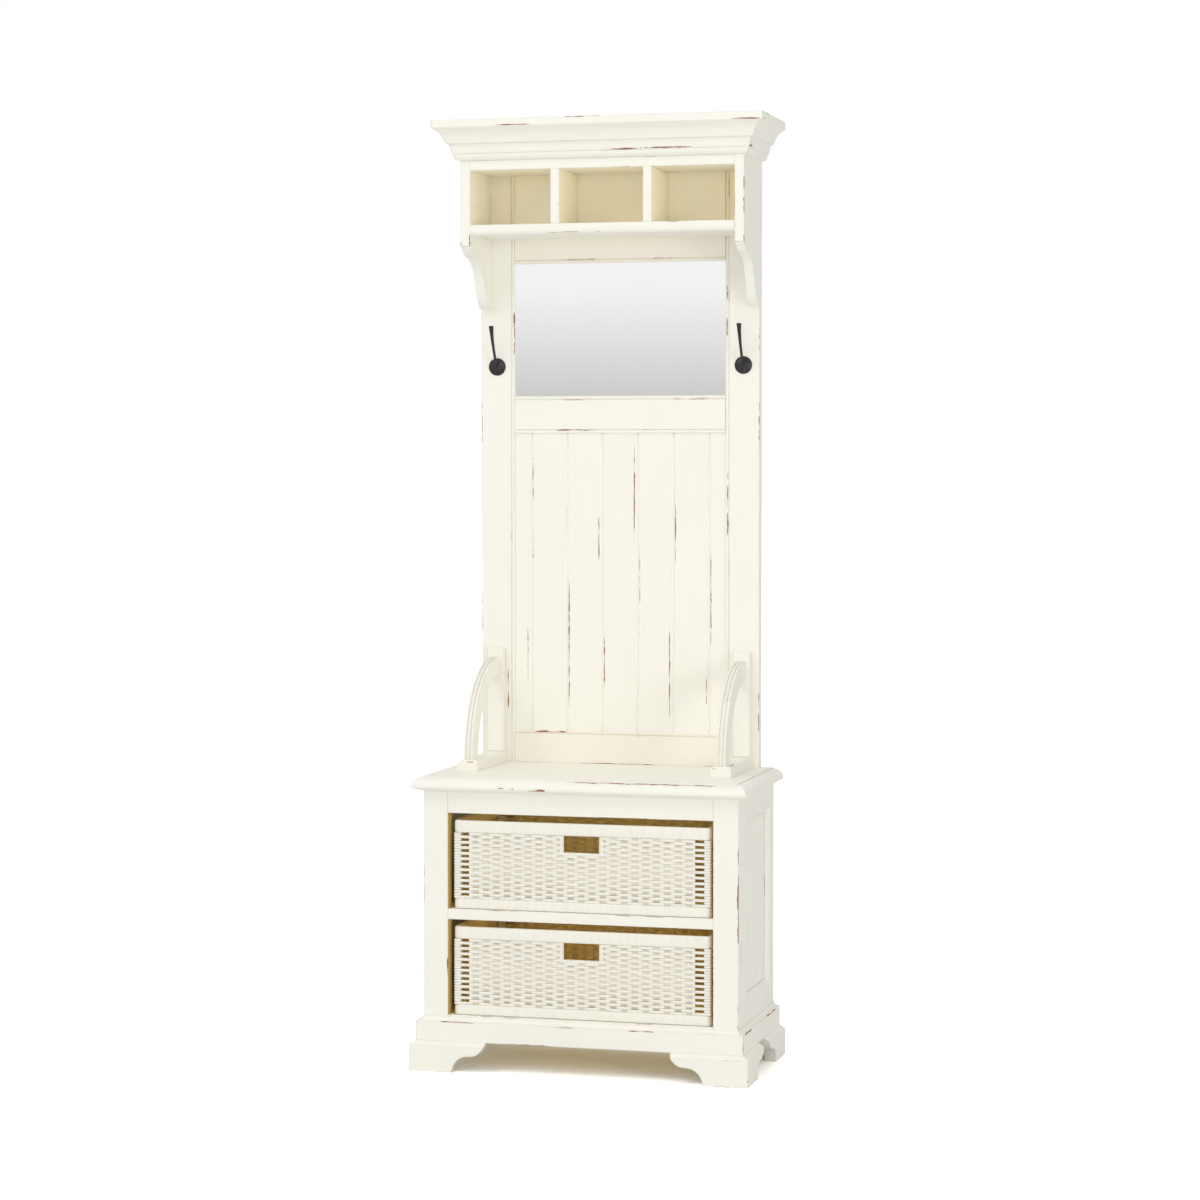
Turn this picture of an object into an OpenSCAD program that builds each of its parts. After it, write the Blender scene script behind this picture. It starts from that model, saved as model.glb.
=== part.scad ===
// Hall tree: a bench case with two pull-out baskets, a tall framed back with a mirror,
// three cubbies under a crown, curved arms and two coat hooks. Millimetres, +Z up.
// Origin: centre of the footprint, on the floor. The front faces -Y.

/* [Overall] */
// Height from the floor to the top of the crown
overall_h = 2000; // [1650:10:2400]
// Width over the feet
overall_w = 727; // [600:1:900]
// Depth from the front feet to the back
overall_d = 382; // [340:1:480]
// Chamfer on the edges of every board
edge_ease = 0.8; // [0.4:0.1:1.5]
// Gap between a moving piece and what it passes
run_gap = 0.5; // [0.4:0.1:1.5]

/* [Feet and plinth] */
// Height of the bracket feet
foot_h = 63; // [50:1:68]
// How far the feet stand out past the case
foot_over = 26; // [18:1:34]
// Thickness of the foot boards
foot_t = 26; // [20:1:36]
// Length of the foot's sole
foot_len = 95; // [70:1:105]
// Radius of the hollow curve of the foot
foot_cove_r = 35; // [24:1:40]
// Radius of the round nose of the foot
foot_nose_r = 33; // [24:1:38]
// Flat between the two curves of the foot
foot_flat = 3; // [0:1:8]
// Side of the glue block behind each foot
foot_block = 58; // [45:1:70]
// How far the plinth stands out past the case
plinth_over = 13.5; // [8:0.5:16]
// Height of the plinth board
plinth_h = 50; // [40:1:70]
// Height of the cove along the plinth's top
plinth_cove = 10; // [5:1:12]

/* [Bench case] */
// Height of the seat's top above the floor
seat_h = 618; // [510:1:760]
// Thickness of the seat board
seat_t = 32; // [24:1:40]
// How far the seat's nose passes the case at the sides
seat_over_side = 21; // [14:1:30]
// How far the seat's nose passes the case in front
seat_over_front = 26; // [14:1:26]
// Thickness of the face frame
face_t = 28; // [20:1:34]
// Width of the front stiles
front_stile_w = 53; // [40:1:70]
// Height of the front top rail
front_top_h = 45.5; // [30:0.5:60]
// Height of the front middle rail
front_mid_h = 22; // [18:1:34]
// Rise of the bottom rail above the plinth
front_sill = 3.5; // [1:0.5:8]
// Thickness of the side frames
side_t = 22; // [18:1:28]
// Width of the side frame's front stile
side_stile_front_w = 58; // [40:1:75]
// Width of the side frame's rear stile
side_stile_rear_w = 42; // [30:1:60]
// Height of the side frame's top rail
side_top_h = 48; // [35:1:70]
// Height of the side frame's bottom rail
side_bottom_h = 95; // [70:1:120]
// Width of the side panel's middle board
side_board_w = 79.4; // [60:0.1:90]
// Width of the sloped edge round the side panel
side_slope_w = 12; // [6:1:16]
// Depth of the side panel below its frame
side_recess = 10; // [6:1:11]
// Thickness of the side panel
side_panel_t = 8; // [6:1:9]
// Thickness of the case bottom and shelf
shelf_t = 18; // [14:1:22]
// Thickness of the case back
case_back_t = 6; // [4:1:10]

/* [Back frame] */
// How far the back frame stands in from the case's sides
back_inset = 27.5; // [20:0.5:45]
// Thickness of the back frame
back_t = 26; // [22:1:34]
// Width of the back stiles
back_stile_w = 74.5; // [60:0.5:90]
// Height of the back frame's bottom rail
back_bottom_h = 71; // [50:1:90]
// Height of the middle rail
back_mid_h = 81; // [60:1:110]
// Height of the mirror opening
mirror_h = 288; // [200:1:380]
// Top of the mirror opening, below the cabinet's top
mirror_drop = 212; // [190:1:260]
// Width of the small round bead along the openings
bead_w = 7.5; // [5:0.5:10]
// Depth of the lip that the mirror and planks sit behind
lip_t = 5; // [4:1:7]
// Depth of the rebate round each opening
rebate_w = 8; // [5:1:12]
// Thickness of the mirror glass
glass_t = 4; // [3:1:6]
// Thickness of the board behind the mirror
mirror_board_t = 6; // [3:1:8]
// Thickness of the planks
plank_t = 12; // [8:1:14]
// Width of the outermost planks' faces
plank_end_w = 37; // [20:1:50]
// Width of the slope on a plank's long edge
plank_slope_w = 4; // [2:0.5:6]
// Depth of that slope
plank_slope_t = 3; // [1:0.5:4]
// Length of a plank's tongue
tongue_l = 5; // [3:1:7]
// Thickness of a plank's tongue
tongue_t = 3; // [2:0.5:4]

/* [Cubbies and crown] */
// Depth of the upper cabinet in front of the back frame
cabinet_d = 155; // [120:1:180]
// Thickness of the cabinet's sides
cabinet_side_t = 21; // [16:1:26]
// Height of the cubby openings
cubby_h = 116; // [90:1:150]
// Thickness of the cubby shelf
cubby_shelf_t = 22; // [16:1:28]
// Thickness of the cubby dividers
divider_t = 19; // [14:1:24]
// How much further out the dividers stand than for equal cubbies
divider_shift = 1.5; // [-10:0.5:10]
// Height of the cabinet's top board
cabinet_top_t = 21; // [16:1:28]
// Straight stretch of the cabinet side below the shelf
bracket_lip = 23; // [12:1:40]
// Height of the scrolled bracket below that stretch
bracket_drop = 129; // [100:1:150]
// How far the crown stands out past the cabinet
crown_over = 50; // [40:1:58]
// Height of the crown
crown_h = 83; // [70:1:100]
// Thickness of the crown's boards behind the cabinet's face
crown_t = 18; // [14:1:24]
// Height of the crown's top band
crown_band_h = 17; // [12:1:20]
// Thickness of the board that closes the crown
crown_lid_t = 12; // [8:1:16]

/* [Arms] */
// Distance of each arm's centre in from the back frame's side
arm_inset = 35; // [28:1:45]
// Width of the arm's base block
arm_base_w = 46; // [36:1:52]
// Length of the arm's base block
arm_base_l = 222; // [190:1:240]
// Height of the arm's base block
arm_base_h = 23; // [16:1:30]
// Width of the post that the arm ends on
arm_post_w = 38; // [28:1:44]
// Thickness of that post
arm_post_t = 18; // [14:1:24]
// Height of the post's top above the seat
arm_post_top = 249; // [220:1:280]
// Width of the curved arm
arm_w = 20; // [14:1:26]
// Depth of the curved arm's band
arm_band = 40; // [28:1:50]
// Reach of the curve in front of the post
arm_reach = 198; // [170:1:202]
// Rise of the curve above the base block
arm_rise = 207; // [170:1:215]
// Depth of the grooves along the curve's front edge
arm_flute = 2.5; // [1:0.5:4]

/* [Hooks] */
// Height of the hooks' centres above the mirror's lower edge
hook_up = 64.5; // [40:0.5:100]
// Diameter of the round plate
rosette_d = 38; // [30:1:46]
// Thickness of the round plate at its middle
rosette_t = 7; // [5:0.5:10]
// How far the hook's tip stands out from the back frame
hook_reach = 46; // [36:1:60]
// How far the tip stands above the round plate's centre
hook_rise = 86; // [60:1:110]
// Diameter of the hook's arm at the plate
hook_root_d = 5.6; // [4.6:0.2:7]
// Diameter of the hook's flared tip
hook_tip_d = 10.5; // [8:0.5:13]
// Length of the threaded shank inside the back frame
shank_l = 18; // [12:1:20]
// Clearance round the shank
shank_gap = 0.1; // [0.05:0.05:0.3]

/* [Baskets] */
// Gap to the left of each basket
basket_gap_left = 10.5; // [3:0.5:30]
// Gap to the right of each basket
basket_gap_right = 5.5; // [3:0.5:30]
// Gap above each basket
basket_gap_top = 15.5; // [5:0.5:40]
// Gap behind each basket
basket_gap_rear = 14; // [5:1:60]
// How far the baskets stand behind the face frame
basket_set = 6; // [2:1:8]
// Thickness of the woven walls
wall_t = 7; // [5:1:12]
// Height of the wrapped band round the top
rim_h = 26; // [20:1:36]
// Height of the band round the foot
base_band_h = 21; // [14:1:28]
// Width of the corner posts
corner_w = 16; // [12:1:22]
// Width of the hand hole
hand_w = 80; // [70:1:110]
// Height of the hand hole under the band
hand_h = 35; // [26:1:44]

/* [Fixings] */
// Diameter of the screws under the seat
screw_d = 6; // [4:0.5:8]
// Diameter of their heads
screw_head_d = 13; // [10:0.5:15]
// Height of their heads
screw_head_h = 4; // [3:0.5:6]
// Depth that they reach above the seat
screw_bite = 16; // [10:1:18]
// Diameter of the two anchor holes in the rear
anchor_d = 4; // [3:0.5:6]
// Depth of the anchor holes
anchor_l = 14; // [8:1:20]
// Distance of the anchor holes in from the top rail's ends
anchor_in = 35.5; // [20:0.5:120]

/* [Hidden] */
$fn = 64;

cream = "#f1efe2";
wicker = "#ebe7d6";
iron = "#3c3b3a";
steel = "#a9abad";
silver = "#dfe1e1";
fibreboard = "#9a7a55";

// shapes of the mouldings
foot_slope = 0.62;      // fall of the slope on a foot, as a share of its depth
seat_tuck = 3;          // the seat's underside starts this far outside the case
seat_lip = [4, 5];      // lower corner of the seat's edge
seat_round_h = 19;      // height of the seat's rounded top
seat_bead_h = 2;        // small step where that rounding starts
bead_groove = 2.6;      // depth of the groove beside the bead
bead_quirk = 0.4;       // how much the bead is rounder than its groove
arm_base_slope = 0.26;  // sloped upper edges of the arm's base, as a share of its height
arm_steps = 44;
shelf_round = 0.45;     // lower front edge of the cubby shelf, as a share of its thickness
hook_lean = [0.87, 0.58];
shank_rings = 2;
rosette_edge = 2.4;
screw_front = 0.2;      // front screw, as a share of the arm base's length
screw_rear = 0.35;      // rear screw, as a share of the back frame's thickness
panel_edge = 4;         // the side panel's edge sits this deep in its groove
plank_count = 7;

// planes of the case
back_y = overall_d / 2;
front_y = -back_y;
case_x = overall_w / 2 - foot_over;
case_y = front_y + foot_over;
frame_y = case_y + face_t;
case_top = seat_h - seat_t;
open_x = case_x - front_stile_w;
inner_x = case_x - side_t;
case_back_y = back_y - case_back_t;
floor_z = foot_h + plinth_h + front_sill;
open_top = case_top - front_top_h;
open_h = (open_top - floor_z - front_mid_h) / 2;
shelf_z = floor_z + open_h + front_mid_h;

// opening of the side frame
side_y0 = frame_y + side_stile_front_w;
side_y1 = back_y - side_stile_rear_w;
side_z0 = foot_h + side_bottom_h;
side_z1 = case_top - side_top_h;
panel_x = case_x - side_recess;

// planes of the back frame
back_x = case_x - back_inset;
stile_in = back_x - back_stile_w;
rebate_x = stile_in + rebate_w;
face_y = back_y - back_t;
lip_y = face_y + lip_t;
seat_z = seat_h;
cabinet_z = overall_h - crown_h;
mirror_top = cabinet_z - mirror_drop;
mirror_bottom = mirror_top - mirror_h;
plank_top = mirror_bottom - back_mid_h;
plank_bottom = seat_z + back_bottom_h;
plank_pitch = 2 * (stile_in - plank_end_w) / (plank_count - 2);
anchor_x = stile_in - anchor_in;

// planes of the cabinet
cabinet_y = face_y - cabinet_d;
cabinet_in = back_x - cabinet_side_t;
cubby_top = cabinet_z - cabinet_top_t;
cubby_z = cubby_top - cubby_h;
bracket_z = cubby_z - cubby_shelf_t - bracket_lip;
divider_x = (2 * cabinet_in + divider_t) / 6 + divider_shift;
crown_x = back_x + crown_over;
crown_y = cabinet_y - crown_over;

// arms and hooks
arm_x = back_x - arm_inset;
arm_front = face_y - arm_base_l;
post_y = face_y - arm_post_t;
arm_z = seat_z + arm_base_h;
hook_z = mirror_bottom + hook_up;
hook_start = rosette_t + 2.2;

// baskets
basket_y = case_y + basket_set;
basket_left = basket_gap_left - open_x;
basket_right = open_x - basket_gap_right;
basket_w = basket_right - basket_left;
basket_off = (basket_left + basket_right) / 2;
basket_d = case_back_y - basket_gap_rear - basket_y;
basket_h = open_h - run_gap - basket_gap_top;
upper_z = shelf_z + run_gap;
lower_z = floor_z + run_gap;

// points along an arc or an ellipse, angles in degrees
function arc(cx, cy, rx, ry, a0, a1, n) =
  [for (i = [0:n]) let (a = a0 + (a1 - a0) * i / n) [cx + rx * cos(a), cy + ry * sin(a)]];

// points along a quadratic curve between p and r that leans towards q
function lean(p, q, r, n) =
  [for (i = [0:n]) let (t = i / n) p * (1 - t) * (1 - t) + q * 2 * t * (1 - t) + r * t * t];

module along_x(x0, x1) {
  translate([x0, 0, 0]) rotate([90, 0, 90]) linear_extrude(x1 - x0) children();
}

module along_y(y0, y1) {
  translate([0, y1, 0]) rotate([90, 0, 0]) linear_extrude(y1 - y0) children();
}

module along_z(z0, z1) {
  translate([0, 0, z0]) linear_extrude(z1 - z0) children();
}

// everything is drawn for the right-hand side; side is -1 for the left
module on_side(side) {
  if (side < 0) mirror([1, 0, 0]) children();
  else children();
}

// rectangle with eased corners
module eased(a, b, e) {
  polygon([
    [a.x + e, a.y], [b.x - e, a.y], [b.x, a.y + e], [b.x, b.y - e],
    [b.x - e, b.y], [a.x + e, b.y], [a.x, b.y - e], [a.x, a.y + e]
  ]);
}

// board between two corners with eased edges
module board(lo, hi, e = edge_ease) {
  intersection() {
    along_x(lo.x, hi.x) eased([lo.y, lo.z], [hi.y, hi.z], e);
    along_y(lo.y, hi.y) eased([lo.x, lo.z], [hi.x, hi.z], e);
    along_z(lo.z, hi.z) eased([lo.x, lo.y], [hi.x, hi.y], e);
  }
}

// part of a moulding that belongs to the front, cut at 45 degrees at its ends
module front_mitre(x, y, depth) {
  polygon([[-x, y], [x, y], [x - depth, y + depth], [depth - x, y + depth]]);
}

// ---- feet and plinth ----

function foot_outline() = concat(
  [[0, 0]],
  arc(foot_len + foot_cove_r, 0, foot_cove_r, foot_cove_r, 180, 90, 10),
  arc(foot_len + foot_cove_r + foot_flat, foot_cove_r + foot_nose_r, foot_nose_r, foot_nose_r,
      270, 270 + acos((foot_cove_r + foot_nose_r - foot_h) / foot_nose_r), 10),
  [[0, foot_h]]
);

// section of a foot: upright face, then a slope in to the plinth
module foot_section(span) {
  step = foot_over - plinth_over;
  polygon([
    [0, edge_ease], [edge_ease, 0], [span, 0], [span, foot_h],
    [step, foot_h], [0, foot_h - step * foot_slope]
  ]);
}

// foot at the right-hand front corner, with its boards meeting at the corner
module foot_corner() {
  x = overall_w / 2;
  span = foot_len + foot_cove_r + foot_flat + foot_nose_r;
  intersection() {
    union() {
      along_y(front_y, front_y + foot_t)
        translate([x, 0]) mirror([1, 0]) polygon(foot_outline());
      along_x(x - foot_t, x)
        translate([front_y, 0]) polygon(foot_outline());
      translate([x - foot_block, front_y + foot_t / 2, 4])
        cube([foot_block - foot_t / 2, foot_block - foot_t / 2, foot_h - 4]);
    }
    along_x(x - span, x) translate([front_y, 0]) foot_section(span);
    along_y(front_y, front_y + span) translate([x, 0]) mirror([1, 0]) foot_section(span);
  }
}

module foot_front_left() { color(cream) on_side(-1) foot_corner(); }
module foot_front_right() { color(cream) foot_corner(); }

// rear feet: one scrolled side board and a plain block behind it
module foot_rear() {
  x = overall_w / 2;
  span = foot_len + foot_cove_r + foot_flat + foot_nose_r;
  intersection() {
    union() {
      along_x(x - foot_t, x)
        translate([back_y, 0]) mirror([1, 0]) polygon(foot_outline());
      translate([x - foot_block, back_y - foot_block, 4])
        cube([foot_block - foot_t / 2, foot_block, foot_h - 4]);
      translate([x - foot_block, back_y - foot_t, 0]) cube([foot_block, foot_t, foot_h]);
    }
    along_y(back_y - span, back_y) translate([x, 0]) mirror([1, 0]) foot_section(span);
  }
}

module foot_rear_left() { color(cream) on_side(-1) foot_rear(); }
module foot_rear_right() { color(cream) foot_rear(); }

// section of the plinth, measured out from the case
function plinth_outline() = concat(
  [[0, foot_h], [plinth_over, foot_h], [plinth_over, foot_h + plinth_h - plinth_cove]],
  arc(plinth_over, foot_h + plinth_h, plinth_over - 1.5, plinth_cove - 1.5, 270, 180, 6),
  [[0, foot_h + plinth_h]]
);

module plinth_front() {
  x = case_x + plinth_over;
  y = case_y - plinth_over;
  color(cream) intersection() {
    along_x(-x, x) translate([case_y, 0]) mirror([1, 0]) polygon(plinth_outline());
    along_z(0, seat_h) front_mitre(x, y, plinth_over);
  }
}

module plinth_side() {
  x = case_x + plinth_over;
  y = case_y - plinth_over;
  difference() {
    along_y(y, back_y) translate([case_x, 0]) polygon(plinth_outline());
    along_z(0, seat_h) polygon([[x + 1, y - 1], [x - plinth_over - 1, y - 1],
                                [x - plinth_over - 1, y + plinth_over + 1]]);
  }
}

module plinth_left() { color(cream) on_side(-1) plinth_side(); }
module plinth_right() { color(cream) plinth_side(); }

// ---- bench case ----

module front_stile() {
  board([open_x, case_y, foot_h], [case_x, frame_y, case_top]);
}

module front_stile_left() { color(cream) on_side(-1) front_stile(); }
module front_stile_right() { color(cream) front_stile(); }

module front_rail(z0, z1) {
  color(cream) board([-open_x, case_y, z0], [open_x, frame_y, z1]);
}

module front_rail_top() { front_rail(open_top, case_top); }
module front_rail_middle() { front_rail(shelf_z - front_mid_h, shelf_z); }
module front_rail_bottom() { front_rail(foot_h, floor_z); }

// opening of the side frame, grown by a margin on every side
module side_window(x0, x1, grow) {
  along_x(x0, x1)
    translate([side_y0 - grow, side_z0 - grow])
      square([side_y1 - side_y0 + 2 * grow, side_z1 - side_z0 + 2 * grow]);
}

module side_frame() {
  difference() {
    board([inner_x, frame_y, foot_h], [case_x, back_y, case_top]);
    side_window(inner_x - 1, case_x, -side_slope_w);
    hull() {
      side_window(case_x, case_x + 1, 0);
      side_window(panel_x, panel_x + 0.01, -side_slope_w);
    }
    side_window(panel_x - side_panel_t - shank_gap, panel_x + shank_gap,
                panel_edge + shank_gap - side_slope_w);
  }
}

module side_frame_left() { color(cream) on_side(-1) side_frame(); }
module side_frame_right() { color(cream) side_frame(); }

// panel of three boards with sloped edges between them
module side_panel() {
  grow = panel_edge - side_slope_w;
  middle = (side_y0 + side_y1) / 2;
  difference() {
    side_window(panel_x - side_panel_t, panel_x, grow);
    for (y = [middle - side_board_w / 2, middle + side_board_w / 2])
      along_z(side_z0, side_z1)
        polygon([[panel_x + 0.01, y - plank_slope_w], [panel_x + 0.01, y + plank_slope_w],
                 [panel_x - plank_slope_t, y]]);
  }
}

module side_panel_left() { color(cream) on_side(-1) side_panel(); }
module side_panel_right() { color(cream) side_panel(); }

module case_board(z1) {
  color(cream) board([-inner_x, frame_y, z1 - shelf_t], [inner_x, case_back_y, z1], 0.4);
}

module bench_bottom() { case_board(floor_z); }
module bench_shelf() { case_board(shelf_z); }

module bench_back() {
  color(cream) board([-inner_x, case_back_y, foot_h], [inner_x, back_y, case_top], 0.4);
}

// seat edge, measured out from the case: tucked underside, round top, bead line
function seat_edge(over) =
  let (z = seat_h - seat_bead_h - seat_round_h)
  concat(
    [[seat_tuck, case_top]],
    arc(over - seat_lip.x, z, seat_lip.x, seat_lip.y, 270, 360, 4),
    arc(-1, z, over + 1, seat_round_h, 0, 90, 12),
    [[-1, seat_h]]
  );

module seat() {
  edge = seat_edge(seat_over_side);
  last = len(edge) - 1;
  color(cream) difference() {
    intersection() {
      along_x(-overall_w, overall_w) polygon(concat(
        [[back_y, case_top]],
        [for (p = seat_edge(seat_over_front)) [case_y - p.x, p.y]],
        [[back_y, seat_h]]
      ));
      along_y(case_y - seat_over_front, back_y) polygon(concat(
        [for (p = edge) [case_x + p.x, p.y]],
        [for (i = [last:-1:0]) [-case_x - edge[i].x, edge[i].y]]
      ));
    }
    screw_spots() cylinder(d = screw_d + 2 * shank_gap, h = 2 * seat_h);
  }
}

// ---- arms ----

module arm_base() {
  lo = arm_x - arm_base_w / 2;
  hi = arm_x + arm_base_w / 2;
  slope = arm_base_h * arm_base_slope;
  difference() {
    intersection() {
      along_z(seat_z, arm_z) translate([lo, arm_front]) square([arm_base_w, arm_base_l]);
      along_y(arm_front, face_y) polygon([
        [lo, seat_z], [hi, seat_z], [hi, arm_z - slope], [hi - slope, arm_z],
        [lo + slope, arm_z], [lo, arm_z - slope]
      ]);
      along_x(lo, hi) polygon([
        [arm_front, seat_z], [face_y, seat_z], [face_y, arm_z],
        [arm_front + slope, arm_z], [arm_front, arm_z - slope]
      ]);
    }
    screw_spots() cylinder(d = screw_d + 2 * shank_gap, h = seat_t + screw_bite + 1);
  }
}

module arm_base_left() { color(cream) on_side(-1) arm_base(); }
module arm_base_right() { color(cream) arm_base(); }

module arm_post() {
  board([arm_x - arm_post_w / 2, post_y, arm_z],
        [arm_x + arm_post_w / 2, face_y, seat_z + arm_post_top], 2);
}

module arm_post_left() { color(cream) on_side(-1) arm_post(); }
module arm_post_right() { color(cream) arm_post(); }

// quarter of an elliptical ring, standing on the base block and ending on the post
module arm_ring(cut) {
  a = arm_reach - cut;
  b = arm_rise - cut;
  translate([post_y, arm_z]) polygon(concat(
    arc(0, 0, a, b, 180, 90, arm_steps),
    arc(0, 0, arm_reach - arm_band, arm_rise - arm_band, 90, 180, arm_steps)
  ));
}

// two fillets, two grooves and a middle bead across the curved front edge
module arm_curve() {
  lo = arm_x - arm_w / 2;
  band = arm_w / 5;
  along_x(lo, lo + arm_w) arm_ring(arm_flute);
  for (i = [0, 2, 4])
    along_x(lo + i * band, lo + (i + 1) * band) arm_ring(0);
}

module arm_curve_left() { color(cream) on_side(-1) arm_curve(); }
module arm_curve_right() { color(cream) arm_curve(); }

// ---- back frame ----

// one edge of a board, from its face round to its rear: [distance in from the edge, depth]
function edge_points(beaded) =
  let (r = bead_w / 2 - bead_quirk)
  beaded ? concat(
    [[bead_w + 1, 0], [bead_w, bead_groove]],
    arc(r, r, r, r, 310, 180, 9),
    [[0, lip_t], [rebate_w, lip_t], [rebate_w, back_t]]
  ) : [[0, 0], [0, back_t]];

module back_stile() {
  difference() {
    along_z(seat_z, cabinet_z) translate([stile_in, face_y]) polygon(concat(
      edge_points(true),
      [[back_stile_w - edge_ease, back_t], [back_stile_w, back_t - edge_ease],
       [back_stile_w, edge_ease], [back_stile_w - edge_ease, 0]]
    ));
    hook_spot() cylinder(d = hook_root_d + 2 * shank_gap, h = shank_l + 1);
    screw_spots() cylinder(d = screw_d + 2 * shank_gap, h = seat_t + screw_bite + 1);
  }
}

module back_stile_left() { color(cream) on_side(-1) back_stile(); }
module back_stile_right() { color(cream) back_stile(); }

// rail between the stiles, beaded above, below, or both, with a tenon that fills their rebates
module back_rail(z0, z1, above, below) {
  lower = edge_points(below);
  last = len(lower) - 1;
  along_x(-stile_in, stile_in) polygon(concat(
    [for (p = edge_points(above)) [face_y + p.y, z1 - p.x]],
    [for (i = [last:-1:0]) [face_y + lower[i].y, z0 + lower[i].x]]
  ));
  tenon_z0 = z0 + (below ? rebate_w : 0);
  tenon_z1 = z1 - (above ? rebate_w : 0);
  translate([-rebate_x, lip_y, tenon_z0])
    cube([2 * rebate_x, back_t - lip_t, tenon_z1 - tenon_z0]);
}

module back_rail_top() {
  color(cream) difference() {
    back_rail(mirror_top, cabinet_z, false, true);
    for (x = [-anchor_x, anchor_x])
      translate([x, back_y + 1, cubby_z + cubby_h / 2])
        rotate([90, 0, 0]) cylinder(d = anchor_d, h = anchor_l + 1);
  }
}

module back_rail_middle() { color(cream) back_rail(plank_top, mirror_bottom, true, true); }
module back_rail_bottom() { color(cream) back_rail(seat_z, plank_bottom, true, false); }

// tongue-and-groove planks, filling the opening and its rebates
module plank(i) {
  first = i == 1;
  last = i == plank_count;
  left = first ? -rebate_x : (i - 1 - plank_count / 2) * plank_pitch;
  right = last ? rebate_x : (i - plank_count / 2) * plank_pitch;
  tongue_y = plank_slope_t + (plank_t - plank_slope_t - tongue_t) / 2;
  color(cream) along_z(plank_bottom - rebate_w, plank_top + rebate_w)
    translate([0, lip_y]) difference() {
      union() {
        polygon([
          [left, first ? 0 : plank_slope_t], [left + (first ? 0 : plank_slope_w), 0],
          [right - (last ? 0 : plank_slope_w), 0], [right, last ? 0 : plank_slope_t],
          [right, plank_t], [left, plank_t]
        ]);
        if (!last)
          translate([right - 1, tongue_y]) square([tongue_l + 1, tongue_t]);
      }
      if (!first)
        translate([left - 1, tongue_y - shank_gap])
          square([tongue_l + 1 + shank_gap, tongue_t + 2 * shank_gap]);
    }
}

module plank_1() { plank(1); }
module plank_2() { plank(2); }
module plank_3() { plank(3); }
module plank_4() { plank(4); }
module plank_5() { plank(5); }
module plank_6() { plank(6); }
module plank_7() { plank(7); }

module mirror_sheet(y0, y1) {
  board([-rebate_x, y0, mirror_bottom - rebate_w], [rebate_x, y1, mirror_top + rebate_w], 0.3);
}

module mirror_glass() { color(silver) mirror_sheet(lip_y, lip_y + glass_t); }
module mirror_board() {
  color(fibreboard) mirror_sheet(lip_y + glass_t, lip_y + glass_t + mirror_board_t);
}

// ---- cubbies and crown ----

// scrolled lower end of the cabinet side, from its front edge back to the frame
function bracket_outline() = concat(
  [[0, 0], [0.04, 0]],
  lean([0.04, 0], [0.10, 0.147], [0.31, 0.17], 7),
  lean([0.31, 0.17], [0.54, 0.21], [0.645, 0.496], 9),
  lean([0.755, 0.76], [0.84, 0.985], [1, 1], 8)
);

module cabinet_side() {
  scroll = [for (p = bracket_outline())
    [cabinet_y + p.x * cabinet_d, bracket_z - p.y * bracket_drop]];
  intersection() {
    along_x(cabinet_in, back_x)
      polygon(concat([[cabinet_y, cabinet_z]], scroll, [[face_y, cabinet_z]]));
    along_z(0, overall_h) eased([cabinet_in, cabinet_y], [back_x, face_y], edge_ease);
  }
}

module cabinet_side_left() { color(cream) on_side(-1) cabinet_side(); }
module cabinet_side_right() { color(cream) cabinet_side(); }

// shelf with a rounded lower front edge
module cubby_shelf() {
  z0 = cubby_z - cubby_shelf_t;
  r = cubby_shelf_t * shelf_round;
  color(cream) along_x(-cabinet_in, cabinet_in) polygon(concat(
    [[face_y, cubby_z], [cabinet_y + 1, cubby_z], [cabinet_y, cubby_z - 1]],
    arc(cabinet_y + r, z0 + r, r, r, 180, 270, 6),
    [[face_y, z0]]
  ));
}

module cubby_divider() {
  board([divider_x - divider_t / 2, cabinet_y, cubby_z],
        [divider_x + divider_t / 2, face_y, cubby_top]);
}

module cubby_divider_left() { color(cream) on_side(-1) cubby_divider(); }
module cubby_divider_right() { color(cream) cubby_divider(); }

module cabinet_top() {
  color(cream) board([-cabinet_in, cabinet_y, cubby_top], [cabinet_in, face_y, cabinet_z]);
}

// crown section, measured out from the cabinet's face and up from its top, as shares of the
// crown's own size: quarter round, fillet, slanted member, step, hollow, band
function crown_members() = concat(
  arc(0.02, 0.165, 0.23, 0.165, 285, 360, 6),
  [[0.285, 0.172], [0.29, 0.19]],
  lean([0.31, 0.22], [0.325, 0.31], [0.385, 0.405], 4),
  [[0.49, 0.42], [0.50, 0.435]],
  lean([0.51, 0.45], [0.60, 0.60], [0.70, 0.67], 6),
  [[0.86, 0.755]]
);

function crown_outline() =
  let (band_z = overall_h - crown_band_h)
  concat(
    [[-crown_t, cabinet_z], [0, cabinet_z]],
    [for (p = crown_members()) [p.x * crown_over, cabinet_z + p.y * crown_h]],
    [[crown_over - 2, band_z - 1], [crown_over, band_z + 1], [crown_over, overall_h - 1.2],
     [crown_over - 1.2, overall_h], [-crown_t, overall_h]]
  );

module crown_front() {
  color(cream) intersection() {
    along_x(-crown_x, crown_x) translate([cabinet_y, 0]) mirror([1, 0]) polygon(crown_outline());
    along_z(0, 2 * overall_h) front_mitre(crown_x, crown_y, crown_over + crown_t);
  }
}

module crown_side() {
  d = crown_over + crown_t + 1;
  difference() {
    along_y(crown_y, back_y) translate([back_x, 0]) polygon(crown_outline());
    along_z(0, 2 * overall_h) polygon([
      [crown_x + 1, crown_y - 1], [crown_x - d, crown_y - 1], [crown_x - d, crown_y + d]
    ]);
  }
}

module crown_left() { color(cream) on_side(-1) crown_side(); }
module crown_right() { color(cream) crown_side(); }

module crown_back() {
  x = back_x - crown_t;
  color(cream) board([-x, back_y - crown_t, cabinet_z], [x, back_y, overall_h - crown_lid_t]);
}

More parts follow.
